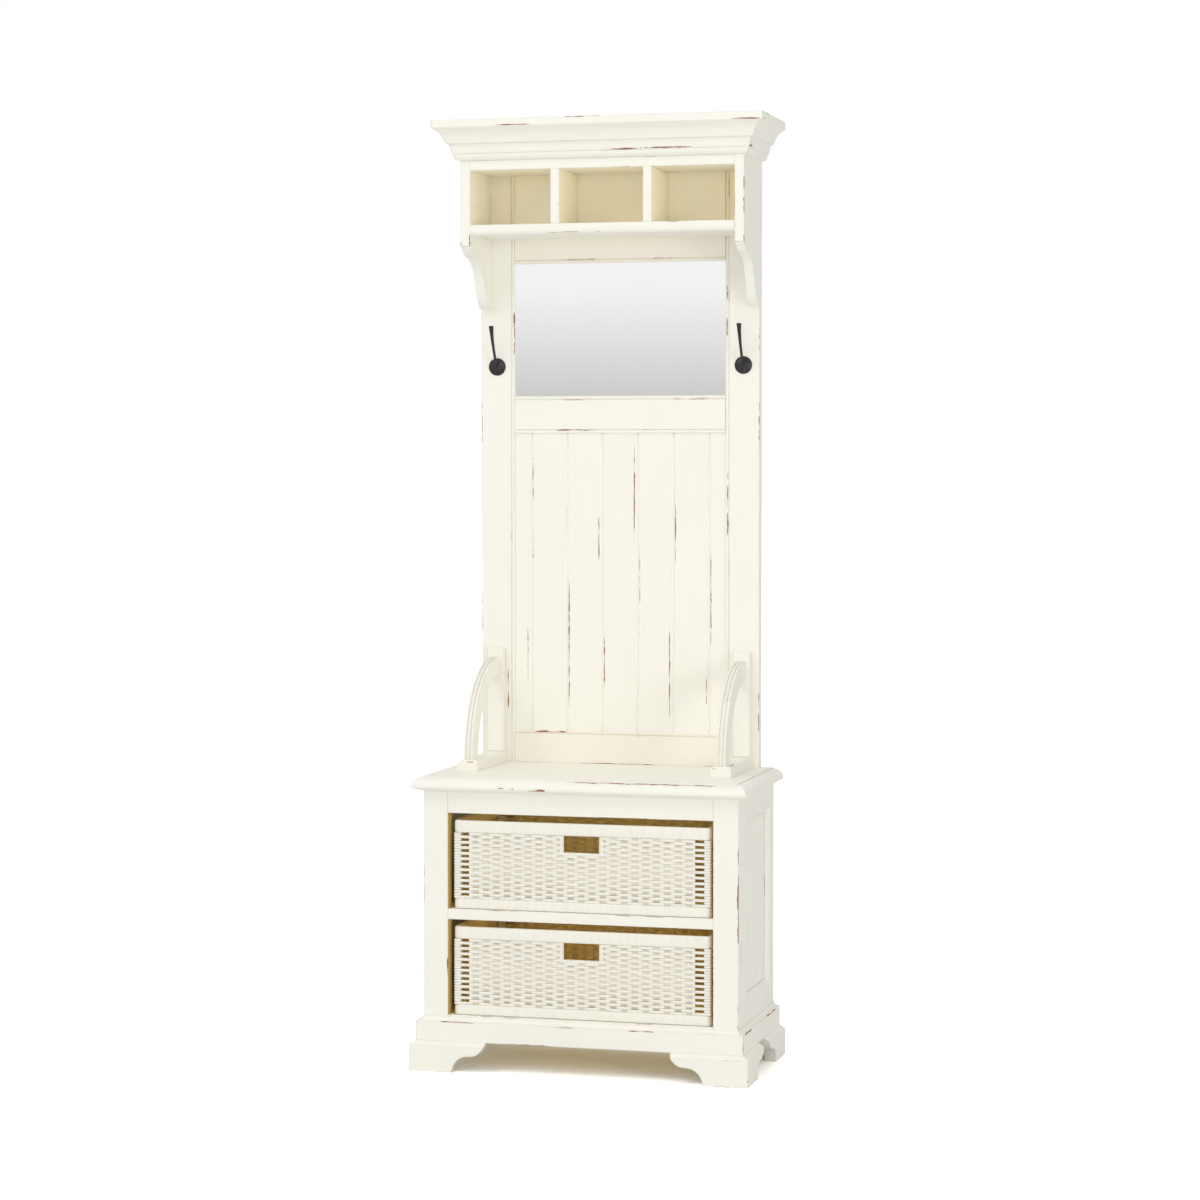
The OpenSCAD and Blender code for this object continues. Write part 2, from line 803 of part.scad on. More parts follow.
module crown_lid() {
  x = back_x - crown_t;
  color(cream) board([-x, cabinet_y + crown_t, overall_h - crown_lid_t], [x, back_y, overall_h]);
}

// ---- hooks ----

// puts a cylinder's axis into the stile, starting at its face
module hook_spot() {
  translate([arm_x, face_y, hook_z]) rotate([-90, 0, 0]) children();
}

module hook_rosette() {
  r = rosette_d / 2;
  bore = hook_root_d / 2 + shank_gap;
  translate([arm_x, face_y, hook_z]) rotate([90, 0, 0]) difference() {
    rotate_extrude() polygon(concat(
      [[0, 0], [r, 0], [r, rosette_edge / 2], [r - 1, rosette_edge - 0.2], [r - 2.6, rosette_edge]],
      arc(0, 2, r - 3, rosette_t - 2, 4, 90, 10)
    ));
    translate([0, 0, -1]) cylinder(r = bore, h = rosette_t + 2);
  }
}

module hook_rosette_left() { color(iron) on_side(-1) hook_rosette(); }
module hook_rosette_right() { color(iron) hook_rosette(); }

// centre line of the hook's arm, [out from the stile, up]: a straight shank, then the bend
function hook_path() = concat(
  [[-shank_l, 0], [hook_start - 2, 0]],
  lean([hook_start, 0], [hook_reach * hook_lean.x, hook_rise * hook_lean.y],
       [hook_reach, hook_rise], 22)
);
function hook_r(t) = (hook_root_d + (hook_tip_d - hook_root_d) * pow(max(t, 0), 3)) / 2;

// round section swept along the path as one closed skin
module hook_sweep() {
  path = hook_path();
  last = len(path) - 1;
  sides = 16;
  rings = [for (i = [0:last])
    let (
      t = path[min(i + 1, last)] - path[max(i - 1, 0)],
      u = t / norm(t),
      r = hook_r((i - shank_rings) / (last - shank_rings))
    )
    [for (k = [0:sides - 1])
      let (a = 360 * k / sides)
      [r * cos(a), -(path[i].x - u.y * r * sin(a)), path[i].y + u.x * r * sin(a)]]
  ];
  points = [for (ring = rings) for (p = ring) p];
  skin = [for (i = [0:last - 1]) for (k = [0:sides - 1])
    let (n = (k + 1) % sides)
    each [
      [i * sides + n, i * sides + k, (i + 1) * sides + n],
      [(i + 1) * sides + n, i * sides + k, (i + 1) * sides + k]
    ]];
  caps = [[for (k = [0:sides - 1]) k], [for (k = [sides - 1:-1:0]) last * sides + k]];
  polyhedron(points = points, faces = concat(skin, caps), convexity = 4);
}

module hook_arm() {
  translate([arm_x, face_y, hook_z]) hook_sweep();
}

module hook_arm_left() { color(iron) on_side(-1) hook_arm(); }
module hook_arm_right() { color(iron) hook_arm(); }

// ---- baskets ----

module basket_box(lo_z, hi_z, inset) {
  translate([basket_left + inset, basket_y + inset, lo_z])
    cube([basket_w - 2 * inset, basket_d - 2 * inset, hi_z - lo_z]);
}

// the four corners, as square columns
module basket_corners(z0, z1) {
  for (x = [basket_left, basket_right - corner_w], y = [basket_y, basket_y + basket_d - corner_w])
    translate([x, y, z0]) cube([corner_w, corner_w, z1 - z0]);
}

// woven walls between the corners, with the hand hole in front
module basket_weave(z) {
  rim_z = z + basket_h - rim_h;
  low = z + base_band_h;
  color(wicker) difference() {
    basket_box(low, rim_z, 0);
    basket_box(low - 1, rim_z + 1, wall_t);
    basket_corners(low - 1, rim_z + 1);
    translate([basket_off - hand_w / 2, basket_y - 1, rim_z - hand_h])
      cube([hand_w, wall_t + 2, hand_h + 1]);
  }
}

// wrapped top band, corner posts, foot band and bottom
module basket_rim(z) {
  rim_z = z + basket_h - rim_h;
  low = z + base_band_h;
  color(wicker) difference() {
    union() {
      basket_box(rim_z, z + basket_h, 0);
      basket_box(z, low, 0);
      basket_corners(z, z + basket_h);
    }
    basket_box(z + wall_t, z + basket_h + 1, wall_t);
  }
}

module basket_upper_weave() { basket_weave(upper_z); }
module basket_upper_rim() { basket_rim(upper_z); }
module basket_lower_weave() { basket_weave(lower_z); }
module basket_lower_rim() { basket_rim(lower_z); }

// ---- fixings ----

// places under the seat where screws go up into the back stiles and the arm bases
module screw_spots() {
  stile_y = face_y + back_t * screw_rear;
  base_y = arm_front + arm_base_l * screw_front;
  for (x = [-arm_x, arm_x], y = [base_y, stile_y])
    translate([x, y, case_top]) children();
}

module seat_screws() {
  color(steel) screw_spots() {
    cylinder(d = screw_d, h = seat_t + screw_bite);
    translate([0, 0, -screw_head_h]) cylinder(d = screw_head_d, h = screw_head_h);
  }
}

foot_front_left();
foot_front_right();
foot_rear_left();
foot_rear_right();
plinth_front();
plinth_left();
plinth_right();
front_stile_left();
front_stile_right();
front_rail_top();
front_rail_middle();
front_rail_bottom();
side_frame_left();
side_frame_right();
side_panel_left();
side_panel_right();
bench_bottom();
bench_shelf();
bench_back();
seat();
arm_base_left();
arm_base_right();
arm_post_left();
arm_post_right();
arm_curve_left();
arm_curve_right();
back_stile_left();
back_stile_right();
back_rail_top();
back_rail_middle();
back_rail_bottom();
plank_1();
plank_2();
plank_3();
plank_4();
plank_5();
plank_6();
plank_7();
mirror_glass();
mirror_board();
cabinet_side_left();
cabinet_side_right();
cubby_shelf();
cubby_divider_left();
cubby_divider_right();
cabinet_top();
crown_front();
crown_left();
crown_right();
crown_back();
crown_lid();
hook_rosette_left();
hook_rosette_right();
hook_arm_left();
hook_arm_right();
basket_upper_weave();
basket_upper_rim();
basket_lower_weave();
basket_lower_rim();
seat_screws();
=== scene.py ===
import math
import random

import bmesh
import bpy
from mathutils import Matrix, Vector


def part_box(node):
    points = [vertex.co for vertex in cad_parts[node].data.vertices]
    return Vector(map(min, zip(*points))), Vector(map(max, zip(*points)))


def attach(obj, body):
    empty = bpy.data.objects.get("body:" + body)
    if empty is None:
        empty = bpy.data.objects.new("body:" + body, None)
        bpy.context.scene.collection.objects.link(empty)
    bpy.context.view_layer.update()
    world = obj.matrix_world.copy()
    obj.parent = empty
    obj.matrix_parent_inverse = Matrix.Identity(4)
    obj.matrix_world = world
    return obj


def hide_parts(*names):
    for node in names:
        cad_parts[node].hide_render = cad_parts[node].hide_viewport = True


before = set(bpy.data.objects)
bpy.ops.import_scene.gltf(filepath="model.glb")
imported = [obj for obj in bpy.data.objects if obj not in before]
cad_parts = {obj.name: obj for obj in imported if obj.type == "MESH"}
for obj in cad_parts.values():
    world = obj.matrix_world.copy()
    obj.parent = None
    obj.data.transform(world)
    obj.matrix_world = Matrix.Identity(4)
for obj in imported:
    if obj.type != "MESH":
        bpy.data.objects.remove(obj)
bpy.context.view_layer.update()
random.seed(7)
print("frame loaded:", len(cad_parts), "nodes")


def linear(r, g, b):
    # 8-bit screen colour to scene colour
    def one(v):
        v = v / 255
        return v / 12.92 if v <= 0.04045 else ((v + 0.055) / 1.055) ** 2.4
    return (one(r), one(g), one(b), 1.0)


class Nodes:
    # a material's node tree, with short calls to add and join nodes
    def __init__(self, name):
        self.material = bpy.data.materials.new(name)
        self.material.use_nodes = True
        self.tree = self.material.node_tree
        self.tree.nodes.clear()
        self.out = self.tree.nodes.new("ShaderNodeOutputMaterial")
        self.shader = self.tree.nodes.new("ShaderNodeBsdfPrincipled")
        self.join(self.shader.outputs[0], self.out.inputs[0])
        self.place = self.add("TexCoord").outputs["Object"]

    def add(self, kind, **values):
        node = self.tree.nodes.new("ShaderNode" + kind)
        for key, value in values.items():
            setattr(node, key, value)
        return node

    def join(self, source, socket):
        self.tree.links.new(source, socket)

    def feed(self, socket, value):
        if isinstance(value, bpy.types.NodeSocket):
            self.join(value, socket)
        else:
            socket.default_value = value

    def math(self, operation, a, b=0.0, clamp=False):
        node = self.add("Math", operation=operation, use_clamp=clamp)
        self.feed(node.inputs[0], a)
        self.feed(node.inputs[1], b)
        return node.outputs[0]

    def vector(self, operation, a, b=(0, 0, 0)):
        node = self.add("VectorMath", operation=operation)
        self.feed(node.inputs[0], a)
        self.feed(node.inputs[1], b)
        return node.outputs["Value" if operation == "DOT_PRODUCT" else "Vector"]

    def stretch(self, scale, shift=(0, 0, 0)):
        node = self.add("Mapping")
        self.join(self.place, node.inputs["Vector"])
        node.inputs["Scale"].default_value = scale
        node.inputs["Location"].default_value = shift
        return node.outputs[0]

    def noise(self, where, scale, detail=3.0, roughness=0.55, distortion=0.0):
        node = self.add("TexNoise")
        self.join(where, node.inputs["Vector"])
        node.inputs["Scale"].default_value = scale
        node.inputs["Detail"].default_value = detail
        node.inputs["Roughness"].default_value = roughness
        node.inputs["Distortion"].default_value = distortion
        return node.outputs[0]

    def drawn(self, axis, share, scale, detail, roughness, shift=(0, 0, 0), distortion=0.0):
        # noise drawn out along one axis, where its scale is only this share of the scale
        factors = [share if k == axis else 1.0 for k in range(3)]
        return self.noise(self.stretch(factors, shift), scale, detail, roughness, distortion)

    def ramp(self, value, low, high, toLow=0.0, toHigh=1.0):
        node = self.add("MapRange", interpolation_type="SMOOTHSTEP")
        self.feed(node.inputs["Value"], value)
        node.inputs["From Min"].default_value = low
        node.inputs["From Max"].default_value = high
        node.inputs["To Min"].default_value = toLow
        node.inputs["To Max"].default_value = toHigh
        return node.outputs[0]

    def spread(self, value, toLow=0.0, toHigh=1.0):
        # noise lies mostly between 0.3 and 0.7, and this spreads it over the whole range
        return self.ramp(value, 0.3, 0.7, toLow, toHigh)

    def mix(self, factor, a, b):
        node = self.add("Mix", data_type="RGBA")
        self.feed(node.inputs[0], factor)
        self.feed(node.inputs[6], a)
        self.feed(node.inputs[7], b)
        return node.outputs[2]

    def split(self, vector):
        node = self.add("SeparateXYZ")
        self.join(vector, node.inputs[0])
        return [node.outputs[k] for k in range(3)]

    def awayFrom(self, centre):
        # how far the point is from the centre along each axis
        return self.vector("ABSOLUTE", self.vector("SUBTRACT", self.place, centre))

    def bump(self, height, strength, distance, normal=None):
        node = self.add("Bump")
        node.inputs["Strength"].default_value = strength
        node.inputs["Distance"].default_value = distance
        self.join(height, node.inputs["Height"])
        if normal is not None:
            self.join(normal, node.inputs["Normal"])
        return node.outputs[0]

    def surface(self, colour, roughness, normal=None, metallic=0.0):
        # feeds the shader and gives the finished material
        self.join(colour, self.shader.inputs["Base Color"])
        self.join(roughness, self.shader.inputs["Roughness"])
        self.shader.inputs["Metallic"].default_value = metallic
        if normal is not None:
            self.join(normal, self.shader.inputs["Normal"])
        return self.material


paint = {
    "cream": linear(251, 249, 240),
    "creamWarm": linear(246, 243, 230),
    "patchTint": 0.28,      # how much warmer the paint gets in broad patches
    "brushTint": 0.3,       # and in the brush strokes
    # the two cubby colours are painted warm bounce light: inside the open cubbies the cream is shown brighter
    # and yellower
    "cubby": linear(255, 249, 230),
    "cubbyBounceWarm": linear(255, 245, 215),
    "peach": linear(248, 237, 217),
    "peachShare": 0.36,
    "thin": linear(232, 214, 190),
    "thinShare": 0.8,
    "bareWood": linear(214, 186, 116),
    "redBrown": linear(184, 132, 110),
    "darkBrown": linear(124, 86, 68),
    "brushScale": 260,
    "brushAlong": 0.035,    # along the grain, the scale is this share of the scale across it
    "raggedScale": 95,
    "raggedAlong": 0.11,
    "streakScale": 160,
    "streakAlong": 0.19,
    "fineScale": 420,
    "patchScale": 7,
    "edgeRadius": 0.0024,
    "edgeFade": (0.012, 0.09),      # how far the rounded normal turns where an edge starts and is full
    "rubWidth": 0.70,       # share of the half widths below that is really bare
    "rubTaper": 2.6,        # how fast a rubbed place narrows towards its ends
    "roughness": (0.36, 0.52),
    "wornRoughness": 0.25,
    "brushHeight": 0.5,
    "wornDepth": 0.8,
    "bump": (0.22, 0.0006),
    "refraction": 1.45,
}

# rubbed places on each node, as a list of (side x, side y, side z), from, to, half width
# a side is -1 or 1 for that face of the board and between them inside it, and 0 for the axis that
# the mark runs along
rubs = {
    "crown_front": [((0, -1, 0.66), 0.18, 0.31, 0.003), ((0, 0.03, -0.62), 0.52, 0.80, 0.0040),
                    ((0, -1, 0.64), 0.90, 0.999, 0.003), ((0, -1, 0.97), 0.40, 0.52, 0.002)],
    "crown_right": [((1, 0, 0.66), 0.02, 0.16, 0.003), ((-0.03, 0, -0.62), 0.02, 0.35, 0.004),
                    ((1, 0, 0.97), 0.10, 0.30, 0.003)],
    "crown_left": [((-1, 0, 0.66), 0.3, 0.5, 0.003)],
    "crown_back": [((0, 1, -1), 0.5, 0.7, 0.003)],
    "cubby_shelf": [((0, -0.985, -0.85), 0.20, 0.56, 0.004), ((0, -1, 1), 0.70, 0.90, 0.003),
                    ((0, -1, 1), 0.10, 0.17, 0.002)],
    "back_rail_top": [((0, -1, -0.93), 0.22, 0.42, 0.0028), ((0, -1, -0.93), 0.64, 0.76, 0.0028)],
    "back_rail_middle": [((0, -1, 0.82), 0.22, 0.40, 0.0028), ((0, -1, 0.82), 0.70, 0.98, 0.0028),
                         ((0, -1, -0.82), 0.16, 0.53, 0.0035)],
    "back_rail_bottom": [((0, -1, 0.9), 0.10, 0.27, 0.004), ((0, -1, -1), 0.3, 0.7, 0.003)],
    "back_stile_left": [((1, -1, 0), 0.675, 0.765, 0.0055), ((-1, -1, 0), 0.525, 0.615, 0.003),
                        ((0.6, -1, 0), 0.085, 0.16, 0.003), ((-1, -1, 0), 0.21, 0.29, 0.003),
                        ((-1, -1, 0), 0.72, 0.76, 0.002), ((1, -1, 0), 0.38, 0.47, 0.002)],
    "back_stile_right": [((-0.9, -1, 0), 0.71, 0.745, 0.003), ((-0.9, -1, 0), 0.77, 0.80, 0.003),
                         ((1, -1, 0), 0.525, 0.61, 0.003), ((-0.85, -1, 0), 0.36, 0.51, 0.0028),
                         ((1, -1, 0), 0.05, 0.13, 0.003), ((1, -1, 0), 0.68, 0.74, 0.002)],
    "plank_1": [((0.46, -1, 0), 0.14, 0.36, 0.0019)],
    "plank_2": [((-0.93, -1, 0), 0.74, 0.93, 0.0026), ((-0.93, -1, 0), 0.55, 0.71, 0.0026)],
    "plank_3": [((-0.87, -1, 0), 0.07, 0.52, 0.0029), ((0.72, -1, 0), 0.56, 0.73, 0.0026)],
    "plank_4": [((-0.87, -1, 0), 0.14, 0.33, 0.0026), ((0.72, -1, 0), 0.62, 0.96, 0.0026)],
    "plank_5": [((-0.87, -1, 0), 0.42, 0.63, 0.0022), ((0.70, -1, 0), 0.05, 0.36, 0.0029)],
    "plank_6": [((-0.87, -1, 0), 0.56, 0.77, 0.0026), ((0.76, -1, 0), 0.1, 0.2, 0.0015)],
    "plank_7": [((-0.8, -1, 0), 0.28, 0.61, 0.0026)],
    "seat": [((0, -0.93, 0.72), 0.45, 0.95, 0.0058), ((0, -0.985, -0.38), 0.22, 0.47, 0.0052),
             ((0, 0.86, 1), 0.40, 0.60, 0.003), ((0.985, 0, -0.2), 0.05, 0.3, 0.004),
             ((0, 0.86, 1), 0.76, 0.84, 0.002)],
    "front_stile_right": [((1, -1, 0), 0.40, 0.83, 0.0058), ((-1, -1, 0), 0.2, 0.3, 0.002),
                          ((1, -1, 0), 0.08, 0.22, 0.0025)],
    "front_stile_left": [((1, -1, 0), 0.25, 0.34, 0.004), ((-1, -1, 0), 0.5, 0.75, 0.0025),
                         ((-1, -1, 0), 0.15, 0.3, 0.002)],
    "front_rail_top": [((0, -1, -1), 0.52, 0.80, 0.002)],
    "front_rail_middle": [((0, -1, 1), 0.08, 0.24, 0.0022), ((0, -1, 1), 0.6, 0.85, 0.0022)],
    "front_rail_bottom": [((0, -1, 1), 0.05, 0.3, 0.002), ((0, -1, 1), 0.7, 0.8, 0.002)],
    "plinth_front": [((0, -0.97, 0.62), 0.06, 0.19, 0.003), ((0, -0.97, 0.62), 0.65, 0.74, 0.003),
                     ((0, -1, -1), 0.28, 0.42, 0.003), ((0, -1, 0.62), 0.42, 0.5, 0.002),
                     ((1, -1, 0), 0.1, 0.5, 0.003)],
    "plinth_right": [((0.97, 0, 0.62), 0.03, 0.25, 0.003), ((0.97, 0, 0.62), 0.6, 0.9, 0.003)],
    "foot_front_right": [((0, -0.93, 1), 0.05, 0.42, 0.003), ((0.985, -0.985, 0), 0.02, 0.65, 0.003),
                         ((0, -0.985, -0.97), 0.5, 0.8, 0.003)],
    "foot_front_left": [((-0.985, -0.985, 0), 0.0, 0.45, 0.003), ((0, -0.985, -0.97), 0.5, 0.9, 0.003)],
    "cabinet_side_right": [((0.95, -1, 0), 0.58, 0.88, 0.003), ((0.95, -1, 0), 0.36, 0.47, 0.003),
                           ((0.95, -0.72, 0), 0.22, 0.33, 0.004)],
    "cabinet_side_left": [((0.95, -1, 0), 0.40, 0.5, 0.003), ((-0.95, -1, 0), 0.30, 0.46, 0.003)],
    "arm_base_right": [((0, -0.98, 0.6), 0.1, 0.45, 0.003), ((0.75, 0, 1), 0.05, 0.25, 0.003)],
    "arm_base_left": [((0, -0.98, 0.6), 0.4, 0.8, 0.003), ((-0.75, 0, 1), 0.05, 0.3, 0.003)],
    "side_frame_right": [((1, -1, 0), 0.3, 0.45, 0.003), ((1, 1, 0), 0.2, 0.4, 0.003)],
    "side_frame_left": [((-1, 1, 0), 0.5, 0.7, 0.003)],
}

peachNodes = ("back_rail_top", "back_rail_bottom")       # duller, warmer paint
bareFaces = {"front_stile_left": (1, 0, 0), "front_stile_right": (-1, 0, 0)}   # unpainted in the opening

cubbyNodes = ("cubby_divider_left", "cubby_divider_right", "cabinet_top", "cubby_shelf",
              "cabinet_side_left", "cabinet_side_right", "back_rail_top",
              "back_stile_left", "back_stile_right")

cubby = {
    "margin": 0.001,        # the region of painted warm bounce light reaches this far past the boards' faces
    "fromFront": 0.003,     # it starts this far behind the cabinet top's front edge
    "pastShelf": 0.012,     # and ends this far behind the shelf
    "fade": (-0.002, 0.0005),
}


def insideCubbies(n):
    # 1 inside the three cubbies, where the cream carries painted warm bounce light, and 0 outside them
    shelfHi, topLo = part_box("cubby_shelf")[1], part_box("cabinet_top")[0]
    margin = cubby["margin"]
    lo = Vector((topLo[0] - margin, topLo[1] + cubby["fromFront"], shelfHi[2] - margin))
    hi = Vector((-topLo[0] + margin, shelfHi[1] + cubby["pastShelf"], topLo[2] + margin))
    past = n.split(n.vector("SUBTRACT", n.awayFrom((lo + hi) / 2), (hi - lo) / 2))
    far = n.math("MAXIMUM", n.math("MAXIMUM", past[0], past[1]), past[2])
    return n.ramp(far, *cubby["fade"], 1.0, 0.0)


def grainOf(node):
    # the grain runs along a board's longest side
    lo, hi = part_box(node)
    size = [hi[k] - lo[k] for k in range(3)]
    return size.index(max(size))


def rubBoxes(node):
    # centre and half size of each rubbed place on a board, and the axis that it runs along
    lo, hi = (Vector(v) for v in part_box(node))
    middle, half = (lo + hi) / 2, (hi - lo) / 2
    for sides, start, end, wide in rubs.get(node, []):
        long = sides.index(0)
        centre = Vector([middle[k] + half[k] * sides[k] for k in range(3)])
        centre[long] = lo[long] + (hi[long] - lo[long]) * (start + end) / 2
        wide *= paint["rubWidth"]
        reach = Vector((wide, wide, wide))
        reach[long] = (hi[long] - lo[long]) * (end - start) / 2
        yield centre, reach, long


def edgeWear(n, rounded, normal, ragged, patch):
    # 1 where paint has worn off an edge: the rounded normal turns away from the true one there
    facing = n.vector("DOT_PRODUCT", rounded, normal)
    edge = n.ramp(n.math("SUBTRACT", 1.0, facing), *paint["edgeFade"])
    thinSpots = n.math("MULTIPLY", n.ramp(ragged, 0.55, 0.66), n.ramp(patch, 0.49, 0.60))
    return n.math("MULTIPLY", edge, thinSpots)


def rubbedWear(n, node, streaks, wear):
    # the wear with the board's rubbed places added, each ragged and narrow at its ends
    for centre, reach, long in rubBoxes(node):
        away = n.split(n.vector("DIVIDE", n.awayFrom(centre), reach))
        across = n.math("MAXIMUM", *[away[k] for k in range(3) if k != long])
        taper = n.math("MULTIPLY", n.math("SUBTRACT", 1.0, away[long], True), paint["rubTaper"], True)
        allowed = n.math("MULTIPLY", taper, n.ramp(streaks, 0.36, 0.66, 0.22, 1.0))
        wear = n.math("MAXIMUM", wear, n.ramp(n.math("SUBTRACT", allowed, across), 0.0, 0.25))
    return wear


def paintColour(n, node, patch, brush, normal):
    # colour of the unworn paint on a board
    cream = n.mix(n.ramp(patch, 0.3, 0.75, 0.0, paint["patchTint"]), paint["cream"], paint["creamWarm"])
    cream = n.mix(n.ramp(brush, 0.35, 0.7, 0.0, paint["brushTint"]), cream, paint["creamWarm"])
    if node in peachNodes:
        cream = n.mix(paint["peachShare"], cream, paint["peach"])
    if node in cubbyNodes:
        # painted warm bounce light inside the cubbies
        bounceTinted = n.mix(n.ramp(patch, 0.3, 0.75), paint["cubby"], paint["cubbyBounceWarm"])
        cream = n.mix(insideCubbies(n), cream, bounceTinted)
    if node in bareFaces:
        toOpening = n.vector("DOT_PRODUCT", normal, bareFaces[node])
        cream = n.mix(n.ramp(toOpening, 0.6, 0.9), cream, paint["bareWood"])
    return cream


def paintMaterial(node):
    n = Nodes("paint_" + node)
    grain = grainOf(node)
    shift = Vector([random.uniform(-3, 3) for _ in range(3)])
    brush = n.drawn(grain, paint["brushAlong"], paint["brushScale"], 3, 0.6, shift)
    ragged = n.drawn(grain, paint["raggedAlong"], paint["raggedScale"], 4, 0.7, shift)
    streaks = n.drawn(grain, paint["streakAlong"], paint["streakScale"], 3, 0.65, shift)
    even = n.stretch((1, 1, 1), shift)
    fine = n.noise(even, paint["fineScale"], 2, 0.6)
    patch = n.noise(even, paint["patchScale"], 2, 0.5)

    rounded = n.add("Bevel", samples=4)
    rounded.inputs["Radius"].default_value = paint["edgeRadius"]
    normal = n.add("NewGeometry").outputs["Normal"]
    wear = edgeWear(n, rounded.outputs[0], normal, ragged, patch)
    wear = rubbedWear(n, node, streaks, wear)

    colour = paintColour(n, node, patch, brush, normal)
    halo = n.math("MULTIPLY", n.ramp(wear, 0.0, 0.5), paint["thinShare"])
    colour = n.mix(halo, colour, paint["thin"])
    bare = n.mix(n.ramp(fine, 0.42, 0.6), paint["redBrown"], paint["darkBrown"])
    colour = n.mix(n.ramp(wear, 0.25, 0.75), colour, bare)
    rougher = n.math("MULTIPLY", wear, paint["wornRoughness"])
    roughness = n.math("ADD", n.spread(brush, *paint["roughness"]), rougher, True)
    strokes = n.math("MULTIPLY", brush, paint["brushHeight"])
    height = n.math("SUBTRACT", strokes, n.math("MULTIPLY", wear, paint["wornDepth"]))
    n.shader.inputs["IOR"].default_value = paint["refraction"]
    return n.surface(colour, roughness, n.bump(height, *paint["bump"], rounded.outputs[0]))


innerWood = {
    "warm": (linear(244, 222, 158), linear(228, 198, 126)),
    "rear": (linear(226, 212, 182), linear(206, 188, 152)),      # the bench back, seen from behind
    "along": 0.05,
    "grainScale": 90,
    "figureScale": 14,
    "figureTwist": 0.8,
    "roughness": (0.55, 0.75),
    "bump": (0.25, 0.0008),
}


def innerMaterial(node):
    # the case's unpainted boards, seen in the gaps and from behind
    n = Nodes("inner_" + node)
    upright = node == "bench_back"
    axis, share = 2 if upright else 0, innerWood["along"]
    grain = n.drawn(axis, share, innerWood["grainScale"], 4, 0.6)
    broad = n.drawn(axis, share, innerWood["figureScale"], 3, 0.6, distortion=innerWood["figureTwist"])
    mark = n.math("ADD", n.math("MULTIPLY", grain, 0.5), n.math("MULTIPLY", broad, 0.5))
    figure = n.ramp(mark, 0.38, 0.62)
    colour = n.mix(figure, *innerWood["warm"])
    if upright:
        facing = n.add("NewGeometry").outputs["Normal"]
        behind = n.ramp(n.vector("DOT_PRODUCT", facing, (0, 1, 0)), 0.5, 0.9)
        colour = n.mix(behind, colour, n.mix(figure, *innerWood["rear"]))
    roughness = n.spread(grain, *innerWood["roughness"])
    return n.surface(colour, roughness, n.bump(grain, *innerWood["bump"]))


fibreboard = {
    "colours": (linear(150, 118, 82), linear(104, 76, 50)),
    "speckScale": 700,
    "roughness": (0.7, 0.9),
    "bump": (0.3, 0.0005),
}


def boardMaterial():
    n = Nodes("fibreboard")
    speck = n.noise(n.place, fibreboard["speckScale"], 4, 0.7)
    colour = n.mix(speck, *fibreboard["colours"])
    roughness = n.spread(speck, *fibreboard["roughness"])
    return n.surface(colour, roughness, n.bump(speck, *fibreboard["bump"]))


mirror = {
    "colours": (linear(247, 247, 246), linear(242, 243, 243)),
    "smearScale": 14,
    "smearUp": 0.4,
    "roughness": (0.012, 0.035),
}


def mirrorMaterial():
    n = Nodes("silvered_glass")
    smear = n.drawn(2, mirror["smearUp"], mirror["smearScale"], 4, 0.6)
    colour = n.mix(smear, *mirror["colours"])
    return n.surface(colour, n.ramp(smear, 0.45, 0.8, *mirror["roughness"]), metallic=1.0)


castIron = {
    "dark": linear(58, 56, 56),
    # lighter iron of the streaks: rubbed metal, and in part a painted highlight
    "rubAndSheen": linear(98, 94, 90),
    "rubAndSheenShare": 0.7,
    "castScale": 520,
    "rubScale": 90,
    "rubUp": 0.6,
    "roughness": (0.34, 0.52),
    "metallic": 0.65,
    "bump": (0.35, 0.0005),
}


def ironMaterial():
    n = Nodes("dark_iron")
    cast = n.noise(n.place, castIron["castScale"], 4, 0.65)
    # lighter streaks up the iron: rubbed metal, and in part a painted highlight along the arms
    rub = n.drawn(2, castIron["rubUp"], castIron["rubScale"], 3, 0.6)
    rubAndSheenMask = n.ramp(rub, 0.5, 0.75, 0.0, castIron["rubAndSheenShare"])
    colour = n.mix(rubAndSheenMask, castIron["dark"], castIron["rubAndSheen"])
    roughness = n.spread(cast, *castIron["roughness"])
    return n.surface(colour, roughness, n.bump(cast, *castIron["bump"]), castIron["metallic"])


zinc = {
    "colours": (linear(176, 178, 180), linear(148, 150, 152)),
    "turnedScale": 600,
    "turnedUp": 4,
    "roughness": (0.28, 0.42),
}


def steelMaterial():
    n = Nodes("zinc_steel")
    turned = n.drawn(2, zinc["turnedUp"], zinc["turnedScale"], 2, 0.5)
    colour = n.mix(turned, *zinc["colours"])
    return n.surface(colour, n.spread(turned, *zinc["roughness"]), metallic=1.0)


wicker = {
    "paint": (linear(248, 246, 236), linear(245, 241, 229)),
    "lines": linear(236, 228, 208),         # fine lines along each strand
    "linesShare": 0.3,
    # painted shade for the recesses between the strands, where the stakes lie in shade
    "recessShade": linear(244, 238, 222),
    "cane": (linear(238, 216, 150), linear(216, 186, 116)),
    "recessShadeDepth": 0.0034,    # painted shade: the weave is shown darker below this depth, in its recesses
    "recessShadeFade": 0.0010,
    "paintDepth": 0.0052,   # paint reaches this far in from the outside
    "bandDepth": 0.0112,    # and this far on the rim and foot bands
    "paintFade": 0.0004,
    "facing": (-0.4, -0.2),         # faces that look inwards by more than this are bare
    "fibreScale": 900,
    "fibreAlong": 0.06,
    "strandScale": 120,
    "strandAlong": 0.25,
    "roughness": (0.48, 0.68),
    "bump": (0.35, 0.0004),
}


